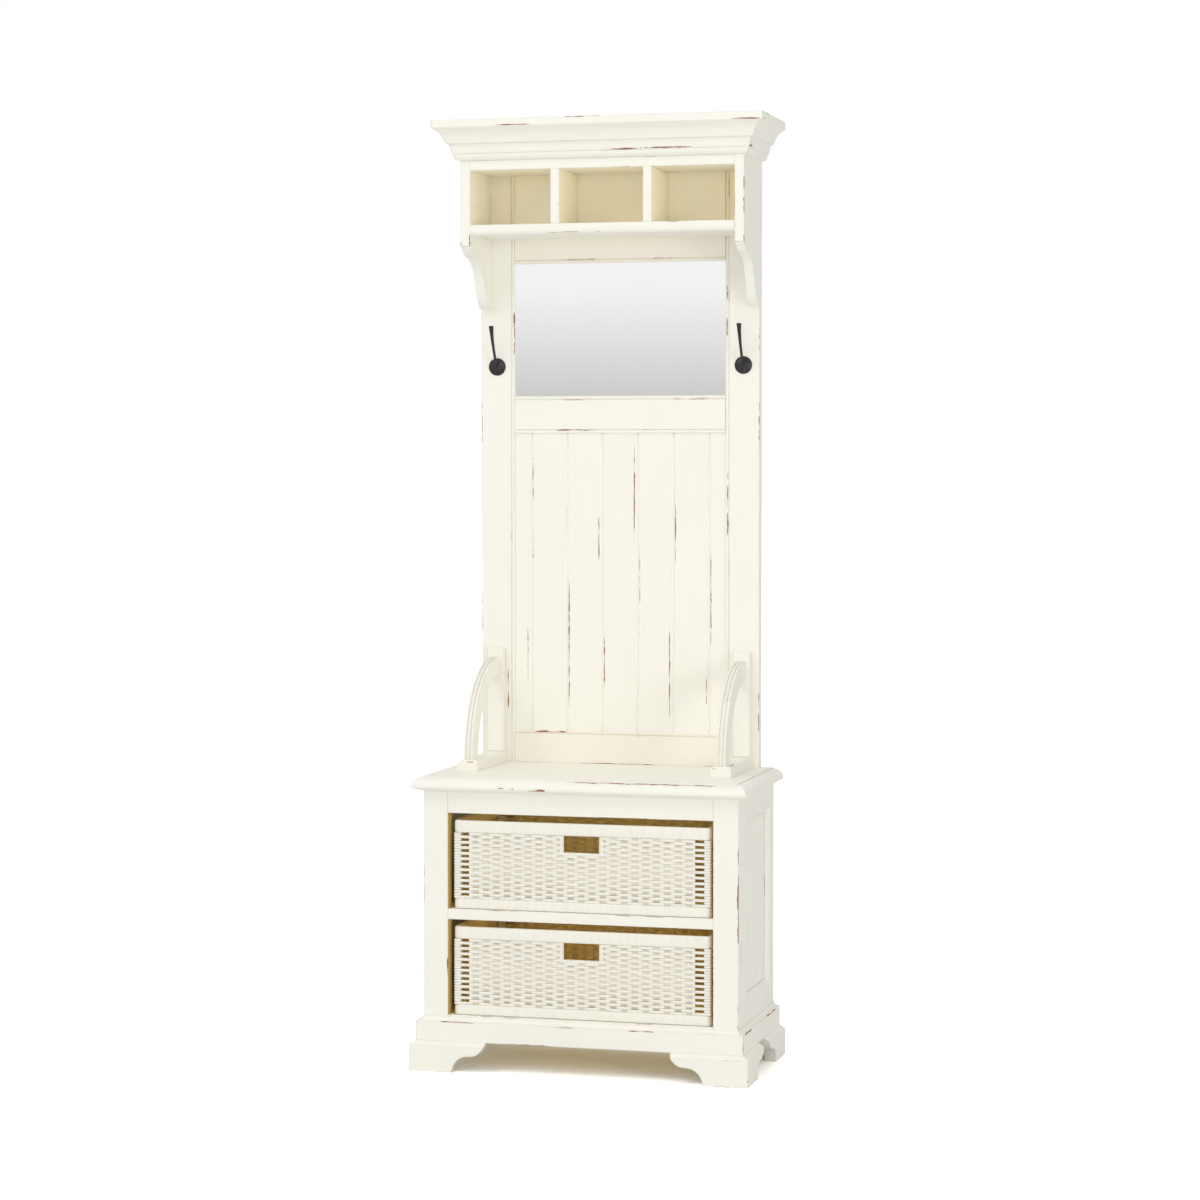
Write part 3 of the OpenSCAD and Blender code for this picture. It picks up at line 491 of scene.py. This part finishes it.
def wickerMaterial(name, along, body, paintDepth):
    # painted cane outside, bare golden cane inside, with fine lines along each strand and painted shade
    # deeper in the weave
    n = Nodes(name)
    lo, hi = (Vector(v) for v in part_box(body + "_rim"))
    middle, half = (lo + hi) / 2, (hi - lo) / 2
    away = n.split(n.awayFrom((middle.x, middle.y, 0)))
    depth = n.math("MINIMUM", n.math("SUBTRACT", half.x, away[0]), n.math("SUBTRACT", half.y, away[1]))
    outside = n.add("Attribute", attribute_name="outside").outputs["Fac"]
    bare = n.math("MAXIMUM", n.ramp(depth, paintDepth, paintDepth + wicker["paintFade"]),
                  n.ramp(outside, *wicker["facing"], 1.0, 0.0))
    fibre = n.drawn(along, wicker["fibreAlong"], wicker["fibreScale"], 3, 0.6)
    strand = n.drawn(along, wicker["strandAlong"], wicker["strandScale"], 2, 0.5)
    painted = n.mix(n.ramp(strand, 0.35, 0.7), *wicker["paint"])
    painted = n.mix(n.ramp(fibre, 0.5, 0.85, 0.0, wicker["linesShare"]), painted, wicker["lines"])
    # painted shade: the paint is darkened deeper in the wall, in the weave's recesses
    deep = n.ramp(depth, wicker["recessShadeDepth"], wicker["recessShadeDepth"] + wicker["recessShadeFade"])
    painted = n.mix(deep, painted, wicker["recessShade"])
    cane = n.mix(n.spread(fibre), *wicker["cane"])
    roughness = n.spread(fibre, *wicker["roughness"])
    return n.surface(n.mix(bare, painted, cane), roughness, n.bump(fibre, *wicker["bump"]))


innerNodes = ("bench_bottom", "bench_shelf", "bench_back")
ownMaterials = {"mirror_glass": mirrorMaterial, "mirror_board": boardMaterial, "seat_screws": steelMaterial}
for name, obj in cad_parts.items():
    obj.data.materials.clear()
    if name.startswith(("basket_", "hook_")):        # these are replaced further down
        continue
    if name in innerNodes:
        material = innerMaterial(name)
    elif name in ownMaterials:
        material = ownMaterials[name]()
    else:
        material = paintMaterial(name)
    obj.data.materials.append(material)
print("materials on the boards")


def placed(name, data):
    # object that holds the data, in the scene
    obj = bpy.data.objects.new(name, data)
    bpy.context.scene.collection.objects.link(obj)
    return obj


def meshObject(name, bm):
    mesh = bpy.data.meshes.new(name)
    bm.to_mesh(mesh)
    bm.free()
    return placed(name, mesh)


def finishPiece(obj, material, body):
    obj.data.materials.clear()
    obj.data.materials.append(material)
    for face in obj.data.polygons:
        face.use_smooth = True
    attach(obj, body)


def addSpline(curve, path, radius=None, closed=False):
    spline = curve.splines.new("POLY")
    spline.points.add(len(path) - 1)
    for k, point in enumerate(spline.points):
        point.co = (*path[k], 1)
        point.radius = radius(k) if radius else 1.0
    spline.use_cyclic_u = closed


def curveToMesh(name, curve):
    shaped = placed(name, curve)
    bpy.context.view_layer.update()
    mesh = bpy.data.meshes.new_from_object(shaped.evaluated_get(bpy.context.evaluated_depsgraph_get()))
    bpy.data.objects.remove(shaped)
    return placed(name, mesh)


def profileCurve(thick, tall, sides, square):
    # flattened ring that is swept along a path: x is across the wall, y is up
    curve = bpy.data.curves.new("profile", "CURVE")
    ring = []
    for k in range(sides):
        a = 2 * math.pi * (k + 0.5) / sides
        x, y = (math.copysign(abs(v) ** (1 / square), v) for v in (math.cos(a), math.sin(a)))
        ring.append((x * thick / 2, y * tall / 2, 0))
    addSpline(curve, ring, closed=True)
    return placed("profile", curve)


def sweep(name, paths, thick, tall, sides=6, closed=False, radius=None, square=1.0):
    # one mesh of canes that follow the paths
    profile = profileCurve(thick, tall, sides, square)
    curve = bpy.data.curves.new(name, "CURVE")
    curve.dimensions = "3D"
    curve.twist_mode = "Z_UP"
    curve.bevel_mode = "OBJECT"
    curve.bevel_object = profile
    curve.use_fill_caps = not closed
    for path in paths:
        addSpline(curve, path, radius, closed)
    obj = curveToMesh(name, curve)
    bpy.data.objects.remove(profile)
    return obj


def joined(name, parts):
    # several meshes as one object
    bm = bmesh.new()
    for part in parts:
        bm.from_mesh(part.data)
        bpy.data.objects.remove(part)
    bmesh.ops.recalc_face_normals(bm, faces=bm.faces)
    return meshObject(name, bm)


weave = {
    "wall": 0.009,
    "rows": 24,
    "columnPitch": 0.0229,
    "corner": 0.016,        # width of the wrapped corner
    "slot": 0.020,          # see-through strip beside each corner
    "strandTall": 0.0060,
    "strandThick": 0.0019,
    "strandSides": 8,
    "strandSquare": 1.8,    # 1 is a round cane, and more is squarer
    "swing": 0.0022,        # how far a strand lies in front of and behind the stakes
    "dive": (0.37, 0.25),   # it dives behind a stake between these shares of the column
    "wobble": (0.0003, 61, 2.1),    # height, and how fast it turns along a row and from row to row
    "intoCorner": 0.5,      # every other row ends at this share of the corner
    "pastField": 0.002,     # and the rows between them end this far past the woven field
    "stakeWide": 0.0160,
    "stakeThick": 0.0014,
    "stakeIn": 0.0006,      # the stakes stand this far in from the middle of the wall
    "stakePast": 0.004,     # and run this far into the bands
    "stakeRound": 0.0006,
    "footBand": 0.021,
    "topBand": 0.026,
    "bandThick": 0.011,
    "bandCorner": 0.006,
    "bandSides": 20,
    "bandSquare": 2.6,
    "bandWaist": 0.975,
    "wrapPitch": 0.0068,
}

wrap = {"thick": 0.0036, "tall": 0.0060, "sides": 6, "inset": 0.0018, "bend": 0.003}

slat = {"wide": 0.0105, "thick": 0.0035, "sides": 6, "pitch": 0.0115, "inset": 0.006,
        "first": 0.012, "last": 0.010}      # first and last are distances from the outside

handHole = {
    "left": -0.0375,        # x of its two upright sides
    "right": 0.0425,
    "deep": 0.035,
    "border": 0.0034,
    "wide": 0.0085,
    "thick": 0.0065,
    "facets": 8,
    "pitch": 0.0026,
    "waist": 0.88,
}


def waisted(share):
    # every other point of a sweep is thinned to this share
    return lambda k: 1.0 if k % 2 else share


def rectangle(lo, hi, inset, z, radius, step):
    # points round a rectangle with round corners, about a step apart
    x0, y0, x1, y1 = lo[0] + inset, lo[1] + inset, hi[0] - inset, hi[1] - inset
    corners = [((x1 - radius, y0 + radius), -90), ((x1 - radius, y1 - radius), 0),
               ((x0 + radius, y1 - radius), 90), ((x0 + radius, y0 + radius), 180)]
    points = []
    turns = max(2, round(radius * math.pi / 2 / step))
    for k, ((cx, cy), a0) in enumerate(corners):
        for i in range(turns + 1):
            a = math.radians(a0 + 90 * i / turns)
            points.append(Vector((cx + radius * math.cos(a), cy + radius * math.sin(a), z)))
        (nx, ny), b0 = corners[(k + 1) % 4]
        b = math.radians(b0)
        end = Vector((nx + radius * math.cos(b), ny + radius * math.sin(b), z))
        start = points[-1]
        count = max(1, round((end - start).length / step))
        for i in range(1, count):
            points.append(start.lerp(end, i / count))
    return points


def wallFrame(lo, hi, side):
    # start corner, direction along the wall, outward direction and length of one wall
    if side == "front":
        return Vector((lo[0], lo[1], 0)), Vector((1, 0, 0)), Vector((0, -1, 0)), hi[0] - lo[0]
    if side == "right":
        return Vector((hi[0], lo[1], 0)), Vector((0, 1, 0)), Vector((1, 0, 0)), hi[1] - lo[1]
    if side == "back":
        return Vector((hi[0], hi[1], 0)), Vector((-1, 0, 0)), Vector((0, 1, 0)), hi[0] - lo[0]
    return Vector((lo[0], hi[1], 0)), Vector((0, -1, 0)), Vector((-1, 0, 0)), hi[1] - lo[1]


def strandStations(row, columns, pitch, length):
    # places along a wall and, at each, how far the strand is in front of the wall's middle
    w = weave
    fieldStart = w["corner"] + w["slot"]
    first = w["corner"] * w["intoCorner"] if row % 2 == 0 else fieldStart - w["pastField"]
    stations = [(first, w["swing"])]
    for column in range(columns):
        middle = fieldStart + (column + 0.5) * pitch
        if (row + column) % 2:
            stations.append((middle, w["swing"]))
            continue
        high, low = (share * pitch for share in w["dive"])
        stations += [(middle - high, w["swing"]), (middle - low, -w["swing"]),
                     (middle + low, -w["swing"]), (middle + high, w["swing"])]
    stations.append((length - first, w["swing"]))
    return stations


def wovenWall(lo, hi, side, z0, z1):
    # paths of the strands and places of the stakes on one wall, between two heights
    w = weave
    start, along, out, length = wallFrame(lo, hi, side)
    base = start - out * (w["wall"] / 2)
    fieldStart = w["corner"] + w["slot"]
    columns = round((length - 2 * fieldStart) / w["columnPitch"])
    pitch = (length - 2 * fieldStart) / columns
    holeFrom, holeTo = handHole["left"] - lo.x, handHole["right"] - lo.x
    holeZ = z1 - handHole["deep"]

    def underHole(s):
        return side == "front" and holeFrom < s < holeTo

    strands, stakes = [], []
    height, turnAlong, turnUp = w["wobble"]
    for row in range(w["rows"]):
        z = z0 + (row + 0.5) * (z1 - z0) / w["rows"]
        strands.append([])
        for s, swing in strandStations(row, columns, pitch, length):
            if underHole(s) and z > holeZ:           # the hand hole cuts the strand in two
                strands.append([])
                continue
            wobble = height * math.sin(s * turnAlong + row * turnUp)
            strands[-1].append(base + along * s + out * swing + Vector((0, 0, z + wobble)))
    for column in range(columns):
        s = fieldStart + (column + 0.5) * pitch
        top = holeZ if underHole(s) else z1 + w["stakePast"]
        stakes.append((base + along * s - out * w["stakeIn"], along, z0 - w["stakePast"], top))
    return [path for path in strands if len(path) > 1], stakes


def flatStakes(stakes):
    # upright flat canes that the strands pass in front of and behind
    wide, thick = weave["stakeWide"], weave["stakeThick"]
    bm = bmesh.new()
    for place, along, low, high in stakes:
        x, y = (wide, thick) if abs(along.x) > 0.5 else (thick, wide)
        matrix = Matrix.Translation((place.x, place.y, (low + high) / 2))
        matrix = matrix @ Matrix.Diagonal((x, y, high - low, 1))
        bmesh.ops.create_cube(bm, size=1, matrix=matrix)
    upright = [e for e in bm.edges if abs(e.verts[0].co.z - e.verts[1].co.z) > 0.01]
    bmesh.ops.bevel(bm, geom=upright, offset=weave["stakeRound"], segments=2, profile=0.5,
                    affect="EDGES", material=-1)
    return meshObject("stakes", bm)


def cornerWraps(lo, hi, z0, z1):
    # rings of cane round each corner post, one to a row
    rows, corner = weave["rows"], weave["corner"]
    xs = ((lo.x, lo.x + corner), (hi.x - corner, hi.x))
    ys = ((lo.y, lo.y + corner), (hi.y - corner, hi.y))
    rings = []
    for i, j in ((0, 0), (1, 0), (1, 1), (0, 1)):
        a, b = (xs[i][0], ys[j][0]), (xs[i][1], ys[j][1])
        for row in range(rows):
            z = z0 + (row + 0.5) * (z1 - z0) / rows
            rings.append(rectangle(a, b, wrap["inset"], z, wrap["bend"], wrap["bend"]))
    return sweep("wraps", rings, wrap["thick"], wrap["tall"], wrap["sides"], True)


def band(lo, hi, z, tall):
    # thick wrapped cane round the whole basket
    w = weave
    path = rectangle(lo, hi, w["bandThick"] / 2, z, w["bandCorner"], w["wrapPitch"] / 2)
    return sweep("band", [path], w["bandThick"], tall, w["bandSides"], True,
                 waisted(w["bandWaist"]), w["bandSquare"])


def floorSlats(lo, hi):
    paths = []
    y = lo.y + slat["first"]
    z = lo.z + slat["inset"]
    while y < hi.y - slat["last"]:
        paths.append([Vector((lo.x + slat["inset"], y, z)), Vector((hi.x - slat["inset"], y, z))])
        y += slat["pitch"]
    return sweep("slats", paths, slat["wide"], slat["thick"], slat["sides"])


def holeBorder(lo, z1):
    # wrapped cane down one side of the hand hole, along it and up the other side
    y = lo.y + weave["wall"] / 2
    border = handHole["border"]
    left, right = handHole["left"] - border, handHole["right"] + border
    low = z1 - handHole["deep"] - border
    corners = [Vector((left, y, z1)), Vector((left, y, low)), Vector((right, y, low)), Vector((right, y, z1))]
    path = []
    for a, b in zip(corners, corners[1:]):
        count = round((b - a).length / handHole["pitch"])
        path += [a.lerp(b, i / count) for i in range(count)]
    path.append(corners[-1])
    return sweep("border", [path], handHole["wide"], handHole["thick"], handHole["facets"], False,
                 waisted(handHole["waist"]))


def markOutside(obj, lo, hi):
    # how far each face looks outwards (1) or inwards (-1), for the paint to know its side
    mesh = obj.data
    values = []
    for face in mesh.polygons:
        c = face.center
        away = {(-1, 0): c.x - lo.x, (1, 0): hi.x - c.x, (0, -1): c.y - lo.y, (0, 1): hi.y - c.y}
        x, y = min(away, key=away.get)
        values.append(face.normal.x * x + face.normal.y * y)
    mesh.attributes.new("outside", "FLOAT", "FACE").data.foreach_set("value", values)


def basket(name):
    w = weave
    lo, hi = (Vector(v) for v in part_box(name + "_rim"))
    z0, z1 = lo.z + w["footBand"], hi.z - w["topBand"]
    strands, stakes = [], []
    for side in ("front", "right", "back", "left"):
        wallStrands, wallStakes = wovenWall(lo, hi, side, z0, z1)
        strands += wallStrands
        stakes += wallStakes
    parts = [sweep("strands", strands, w["strandThick"], w["strandTall"], w["strandSides"],
                   square=w["strandSquare"]), flatStakes(stakes)]
    woven = joined(name + "_canes", parts)
    markOutside(woven, lo, hi)
    finishPiece(woven, wickerMaterial("cane_" + name, 0, name, wicker["paintDepth"]), name)
    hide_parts(name + "_weave")

    parts = [cornerWraps(lo, hi, z0, z1), band(lo, hi, hi.z - w["topBand"] / 2, w["topBand"]),
             band(lo, hi, lo.z + w["footBand"] / 2, w["footBand"]), floorSlats(lo, hi), holeBorder(lo, z1)]
    bands = joined(name + "_bands", parts)
    markOutside(bands, lo, hi)
    finishPiece(bands, wickerMaterial("band_" + name, 2, name, wicker["bandDepth"]), name)
    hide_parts(name + "_rim")


for name in ("basket_upper", "basket_lower"):
    basket(name)
print("baskets woven")


hook = {
    "rootR": 0.0028,
    "tipR": 0.0053,
    "tipCut": (0.0006, 0.0007),     # the end's rounded edge: along the arm and off its radius
    "rootIn": 0.002,        # the arm starts this far inside the plate
    "bend": (0.87, 0.58),   # the bend pulls towards these shares of the reach and the rise
    "steps": 30,
    "plateSteps": 64,
    "domeSteps": 10,
    "topR": 0.0001,         # a tiny flat is left at the top of the dome
    # the plate's raised rim, as distance in from the edge and height
    "rim": ((0, 0), (0, 0.0012), (0.0007, 0.0020), (0.0022, 0.0023), (0.0030, 0.0021)),
}


def hookPlate(side, centre, thick, radius):
    # turned plate: raised rim, then a low dome
    outline = [(radius - inward, high) for inward, high in hook["rim"]]
    domeIn, domeLow = hook["rim"][-1]
    for i in range(1, hook["domeSteps"] + 1):
        a = math.pi / 2 * i / hook["domeSteps"]
        r = (radius - domeIn) * math.cos(a) + hook["topR"]
        outline.append((r, domeLow + (thick - domeLow) * math.sin(a)))
    bm = bmesh.new()
    verts = [bm.verts.new((centre.x + r, centre.y - h, centre.z)) for r, h in outline]
    edges = [bm.edges.new(pair) for pair in zip(verts, verts[1:])]
    bmesh.ops.spin(bm, geom=verts + edges, cent=centre, axis=(0, 1, 0), dvec=(0, 0, 0),
                   angle=2 * math.pi, steps=hook["plateSteps"], use_merge=True, use_duplicate=False)
    openEdges = [e for e in bm.edges if e.is_boundary]
    bmesh.ops.holes_fill(bm, edges=openEdges, sides=0)
    bmesh.ops.recalc_face_normals(bm, faces=bm.faces)
    return meshObject("hook_plate_" + side, bm)


def hookStem(side, centre, reach, rise, thick):
    # arm that leaves the plate, bends up and widens to a flat end
    steps = hook["steps"]
    tipLong, tipOff = hook["tipCut"]
    bendOut, bendUp = hook["bend"]
    a = Vector((centre.x, centre.y - thick + hook["rootIn"], centre.z))
    b = Vector((centre.x, centre.y - reach * bendOut, centre.z + rise * bendUp))
    c = Vector((centre.x, centre.y - reach, centre.z + rise))
    path = []
    for i in range(steps + 1):
        t = i / steps
        path.append(a * (1 - t) ** 2 + b * 2 * t * (1 - t) + c * t * t)
    path.append(c + (c - path[-2]).normalized() * tipLong)

    def radius(k):
        t = min(1.0, k / steps)
        r = hook["rootR"] + (hook["tipR"] - hook["rootR"]) * t ** 3
        return (r if k <= steps else r - tipOff) / hook["tipR"]

    curve = bpy.data.curves.new("stem", "CURVE")
    curve.dimensions = "3D"
    curve.bevel_depth = hook["tipR"]
    curve.bevel_resolution = 6
    curve.use_fill_caps = True
    addSpline(curve, path, radius)
    return curveToMesh("hook_stem_" + side, curve)


iron = ironMaterial()
for side in ("left", "right"):
    plateLo, plateHi = (Vector(v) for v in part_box("hook_rosette_" + side))
    armLo, armHi = (Vector(v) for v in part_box("hook_arm_" + side))
    centre = Vector(((plateLo.x + plateHi.x) / 2, plateHi.y, (plateLo.z + plateHi.z) / 2))
    thick = plateHi.y - plateLo.y
    plate = hookPlate(side, centre, thick, (plateHi.x - plateLo.x) / 2)
    finishPiece(plate, iron, "frame")
    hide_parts("hook_rosette_" + side)
    stem = hookStem(side, centre, plateHi.y - armLo.y - hook["tipR"], armHi.z - centre.z, thick)
    finishPiece(stem, iron, "frame")
    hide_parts("hook_arm_" + side)
print("hooks made")


studio = {
    "floorSize": 120.0,
    "floorBounce": 0.88,
    "floorShown": 1.8,
    # grey of the room by the height of a direction, and how dim its right-hand side is
    "skyStops": [(0.0, 0.52), (0.0105, 0.565), (0.054, 0.975), (0.075, 0.98), (0.16, 0.68), (1.0, 0.84)],
    "skyBlue": 0.995,       # share of blue in those greys
    "rightDim": 0.62,
    "lightTarget": (0, 0, 0.9),
    "keyPower": 65,
    "keyPlace": (-2.2, -3.6, 5.2),
    "keySize": 3.0,
    "keyColour": (1.0, 0.995, 0.985),
    "fillPower": 55,
    "fillPlace": (4.6, -3.6, 1.5),
    "fillSize": 2.4,
    "fillColour": (1.0, 0.985, 0.93),
    "frontPower": 19,
    "frontPlace": (0.75, -6.4, 1.9),
    "frontSize": 1.5,
    "frontColour": (1.0, 0.995, 0.985),
    "insidePower": 0.075,
    "insideColour": (1.0, 0.94, 0.74),
    "insideSize": 0.03,
    "insideShares": (0.2, 0.5, 0.8),        # of the basket's width
    "gapPower": 0.005,
    "gapColour": (1.0, 0.72, 0.34),
    "gapWide": 0.008,
    "gapAside": 0.0055,
    "gapBehind": 0.07,
    "cubbyPower": 0.010,
    "cubbyColour": (1.0, 0.95, 0.86),
    "cubbyBehind": 0.002,
}


def floorMaterial():
    # the floor is shown brighter than it bounces light, so that only soft shadows are left on white
    material = bpy.data.materials.new("studio_floor")
    material.use_nodes = True
    tree = material.node_tree
    tree.nodes.clear()
    out = tree.nodes.new("ShaderNodeOutputMaterial")
    mixer = tree.nodes.new("ShaderNodeMixShader")
    rays = tree.nodes.new("ShaderNodeLightPath")
    bounce = tree.nodes.new("ShaderNodeBsdfDiffuse")
    shown = tree.nodes.new("ShaderNodeBsdfDiffuse")
    bounce.inputs["Color"].default_value = (studio["floorBounce"],) * 3 + (1,)
    shown.inputs["Color"].default_value = (studio["floorShown"],) * 3 + (1,)
    tree.links.new(rays.outputs["Is Camera Ray"], mixer.inputs[0])
    tree.links.new(bounce.outputs[0], mixer.inputs[1])
    tree.links.new(shown.outputs[0], mixer.inputs[2])
    tree.links.new(mixer.outputs[0], out.inputs[0])
    return material


def makeFloor():
    bm = bmesh.new()
    bmesh.ops.create_grid(bm, x_segments=2, y_segments=2, size=studio["floorSize"] / 2)
    floor = meshObject("floor", bm)
    floor.data.materials.append(floorMaterial())


def makeRoom():
    # white behind the object, and greys by height that light it and show in the mirror
    world = bpy.data.worlds.new("studio")
    bpy.context.scene.world = world
    world.use_nodes = True
    nodes, links = world.node_tree.nodes, world.node_tree.links
    nodes.clear()
    out = nodes.new("ShaderNodeOutputWorld")
    mixer = nodes.new("ShaderNodeMixShader")
    plain = nodes.new("ShaderNodeBackground")
    room = nodes.new("ShaderNodeBackground")
    rays = nodes.new("ShaderNodeLightPath")
    coords = nodes.new("ShaderNodeTexCoord")
    split = nodes.new("ShaderNodeSeparateXYZ")
    ramp = nodes.new("ShaderNodeValToRGB")
    dim = nodes.new("ShaderNodeMapRange")
    plain.inputs["Color"].default_value = (1, 1, 1, 1)
    for k, (height, grey) in enumerate(studio["skyStops"]):
        stop = ramp.color_ramp.elements[k] if k < 2 else ramp.color_ramp.elements.new(height)
        stop.position = height
        stop.color = (grey, grey, grey * studio["skyBlue"], 1)
    dim.inputs["To Min"].default_value = 1.0
    dim.inputs["To Max"].default_value = studio["rightDim"]
    links.new(coords.outputs["Generated"], split.inputs[0])
    links.new(split.outputs["Z"], ramp.inputs[0])
    links.new(split.outputs["X"], dim.inputs["Value"])
    links.new(dim.outputs[0], room.inputs["Strength"])
    links.new(ramp.outputs[0], room.inputs["Color"])
    links.new(rays.outputs["Is Camera Ray"], mixer.inputs[0])
    links.new(room.outputs[0], mixer.inputs[1])
    links.new(plain.outputs[0], mixer.inputs[2])
    links.new(mixer.outputs[0], out.inputs[0])


def areaLight(name, place, aim, size, power, colour, height=None):
    # round lamp, or a rectangle where a height is given, that shines along aim
    data = bpy.data.lights.new(name, "AREA")
    data.shape = "RECTANGLE" if height else "DISK"
    data.size = size
    if height:
        data.size_y = height
    data.energy = power
    data.color = colour
    lamp = placed(name, data)
    lamp.location = place
    lamp.rotation_euler = Vector(aim).to_track_quat("-Z", "Y").to_euler()


def studioLights():
    for light in ("key", "fill", "front"):
        place = Vector(studio[light + "Place"])
        areaLight(light, place, Vector(studio["lightTarget"]) - place, studio[light + "Size"],
                  studio[light + "Power"], studio[light + "Colour"])


def basketLights():
    # small lamps inside the baskets, so that the gaps and hand holes read as wood and not as black
    for name in ("basket_upper", "basket_lower"):
        lo, hi = (Vector(v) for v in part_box(name + "_rim"))
        for share in studio["insideShares"]:
            data = bpy.data.lights.new("inside", "POINT")
            data.shadow_soft_size = studio["insideSize"]
            data.energy = studio["insidePower"]
            data.color = studio["insideColour"]
            lamp = placed("inside", data)
            lamp.location = (lo.x + (hi.x - lo.x) * share, (lo.y + hi.y) / 2, (lo.z + hi.z) / 2)
        # a strip beside the basket lights the case's wood in the gap on the left
        place = (lo.x - studio["gapAside"], lo.y + studio["gapBehind"], (lo.z + hi.z) / 2)
        areaLight("gap", place, (0, -1, 0), studio["gapWide"], studio["gapPower"],
                  studio["gapColour"], hi.z - lo.z)


def cubbyLights():
    # light that the open cubbies catch from the front
    sides = ("cabinet_side_left", "cubby_divider_left", "cubby_divider_right", "cabinet_side_right")
    low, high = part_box("cubby_shelf")[1][2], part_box("cabinet_top")[0][2]
    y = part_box("cubby_divider_left")[0][1] + studio["cubbyBehind"]
    for left, right in zip(sides, sides[1:]):
        x0, x1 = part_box(left)[1][0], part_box(right)[0][0]
        place = ((x0 + x1) / 2, y, (low + high) / 2)
        areaLight("cubby", place, (0, 1, 0), x1 - x0, studio["cubbyPower"],
                  studio["cubbyColour"], high - low)


camera = {
    "place": (1.6702, -6.2644, 1.2832),
    "down": 1.538,          # degrees below level
    "turn": 14.918,         # degrees to the left
    "lens": 92.0,
    "sensor": 36,
    "shiftUp": -0.05,
    "reach": 100,
}


def makeCamera():
    data = bpy.data.cameras.new("camera")
    data.sensor_width = camera["sensor"]
    data.lens = camera["lens"]
    data.shift_y = camera["shiftUp"]
    data.clip_end = camera["reach"]
    obj = placed("camera", data)
    obj.location = camera["place"]
    obj.rotation_euler = (math.radians(90 - camera["down"]), 0, math.radians(camera["turn"]))
    bpy.context.scene.camera = obj


makeFloor()
makeRoom()
studioLights()
basketLights()
cubbyLights()
makeCamera()
bpy.context.scene.view_settings.view_transform = "Standard"
print("studio and camera ready")
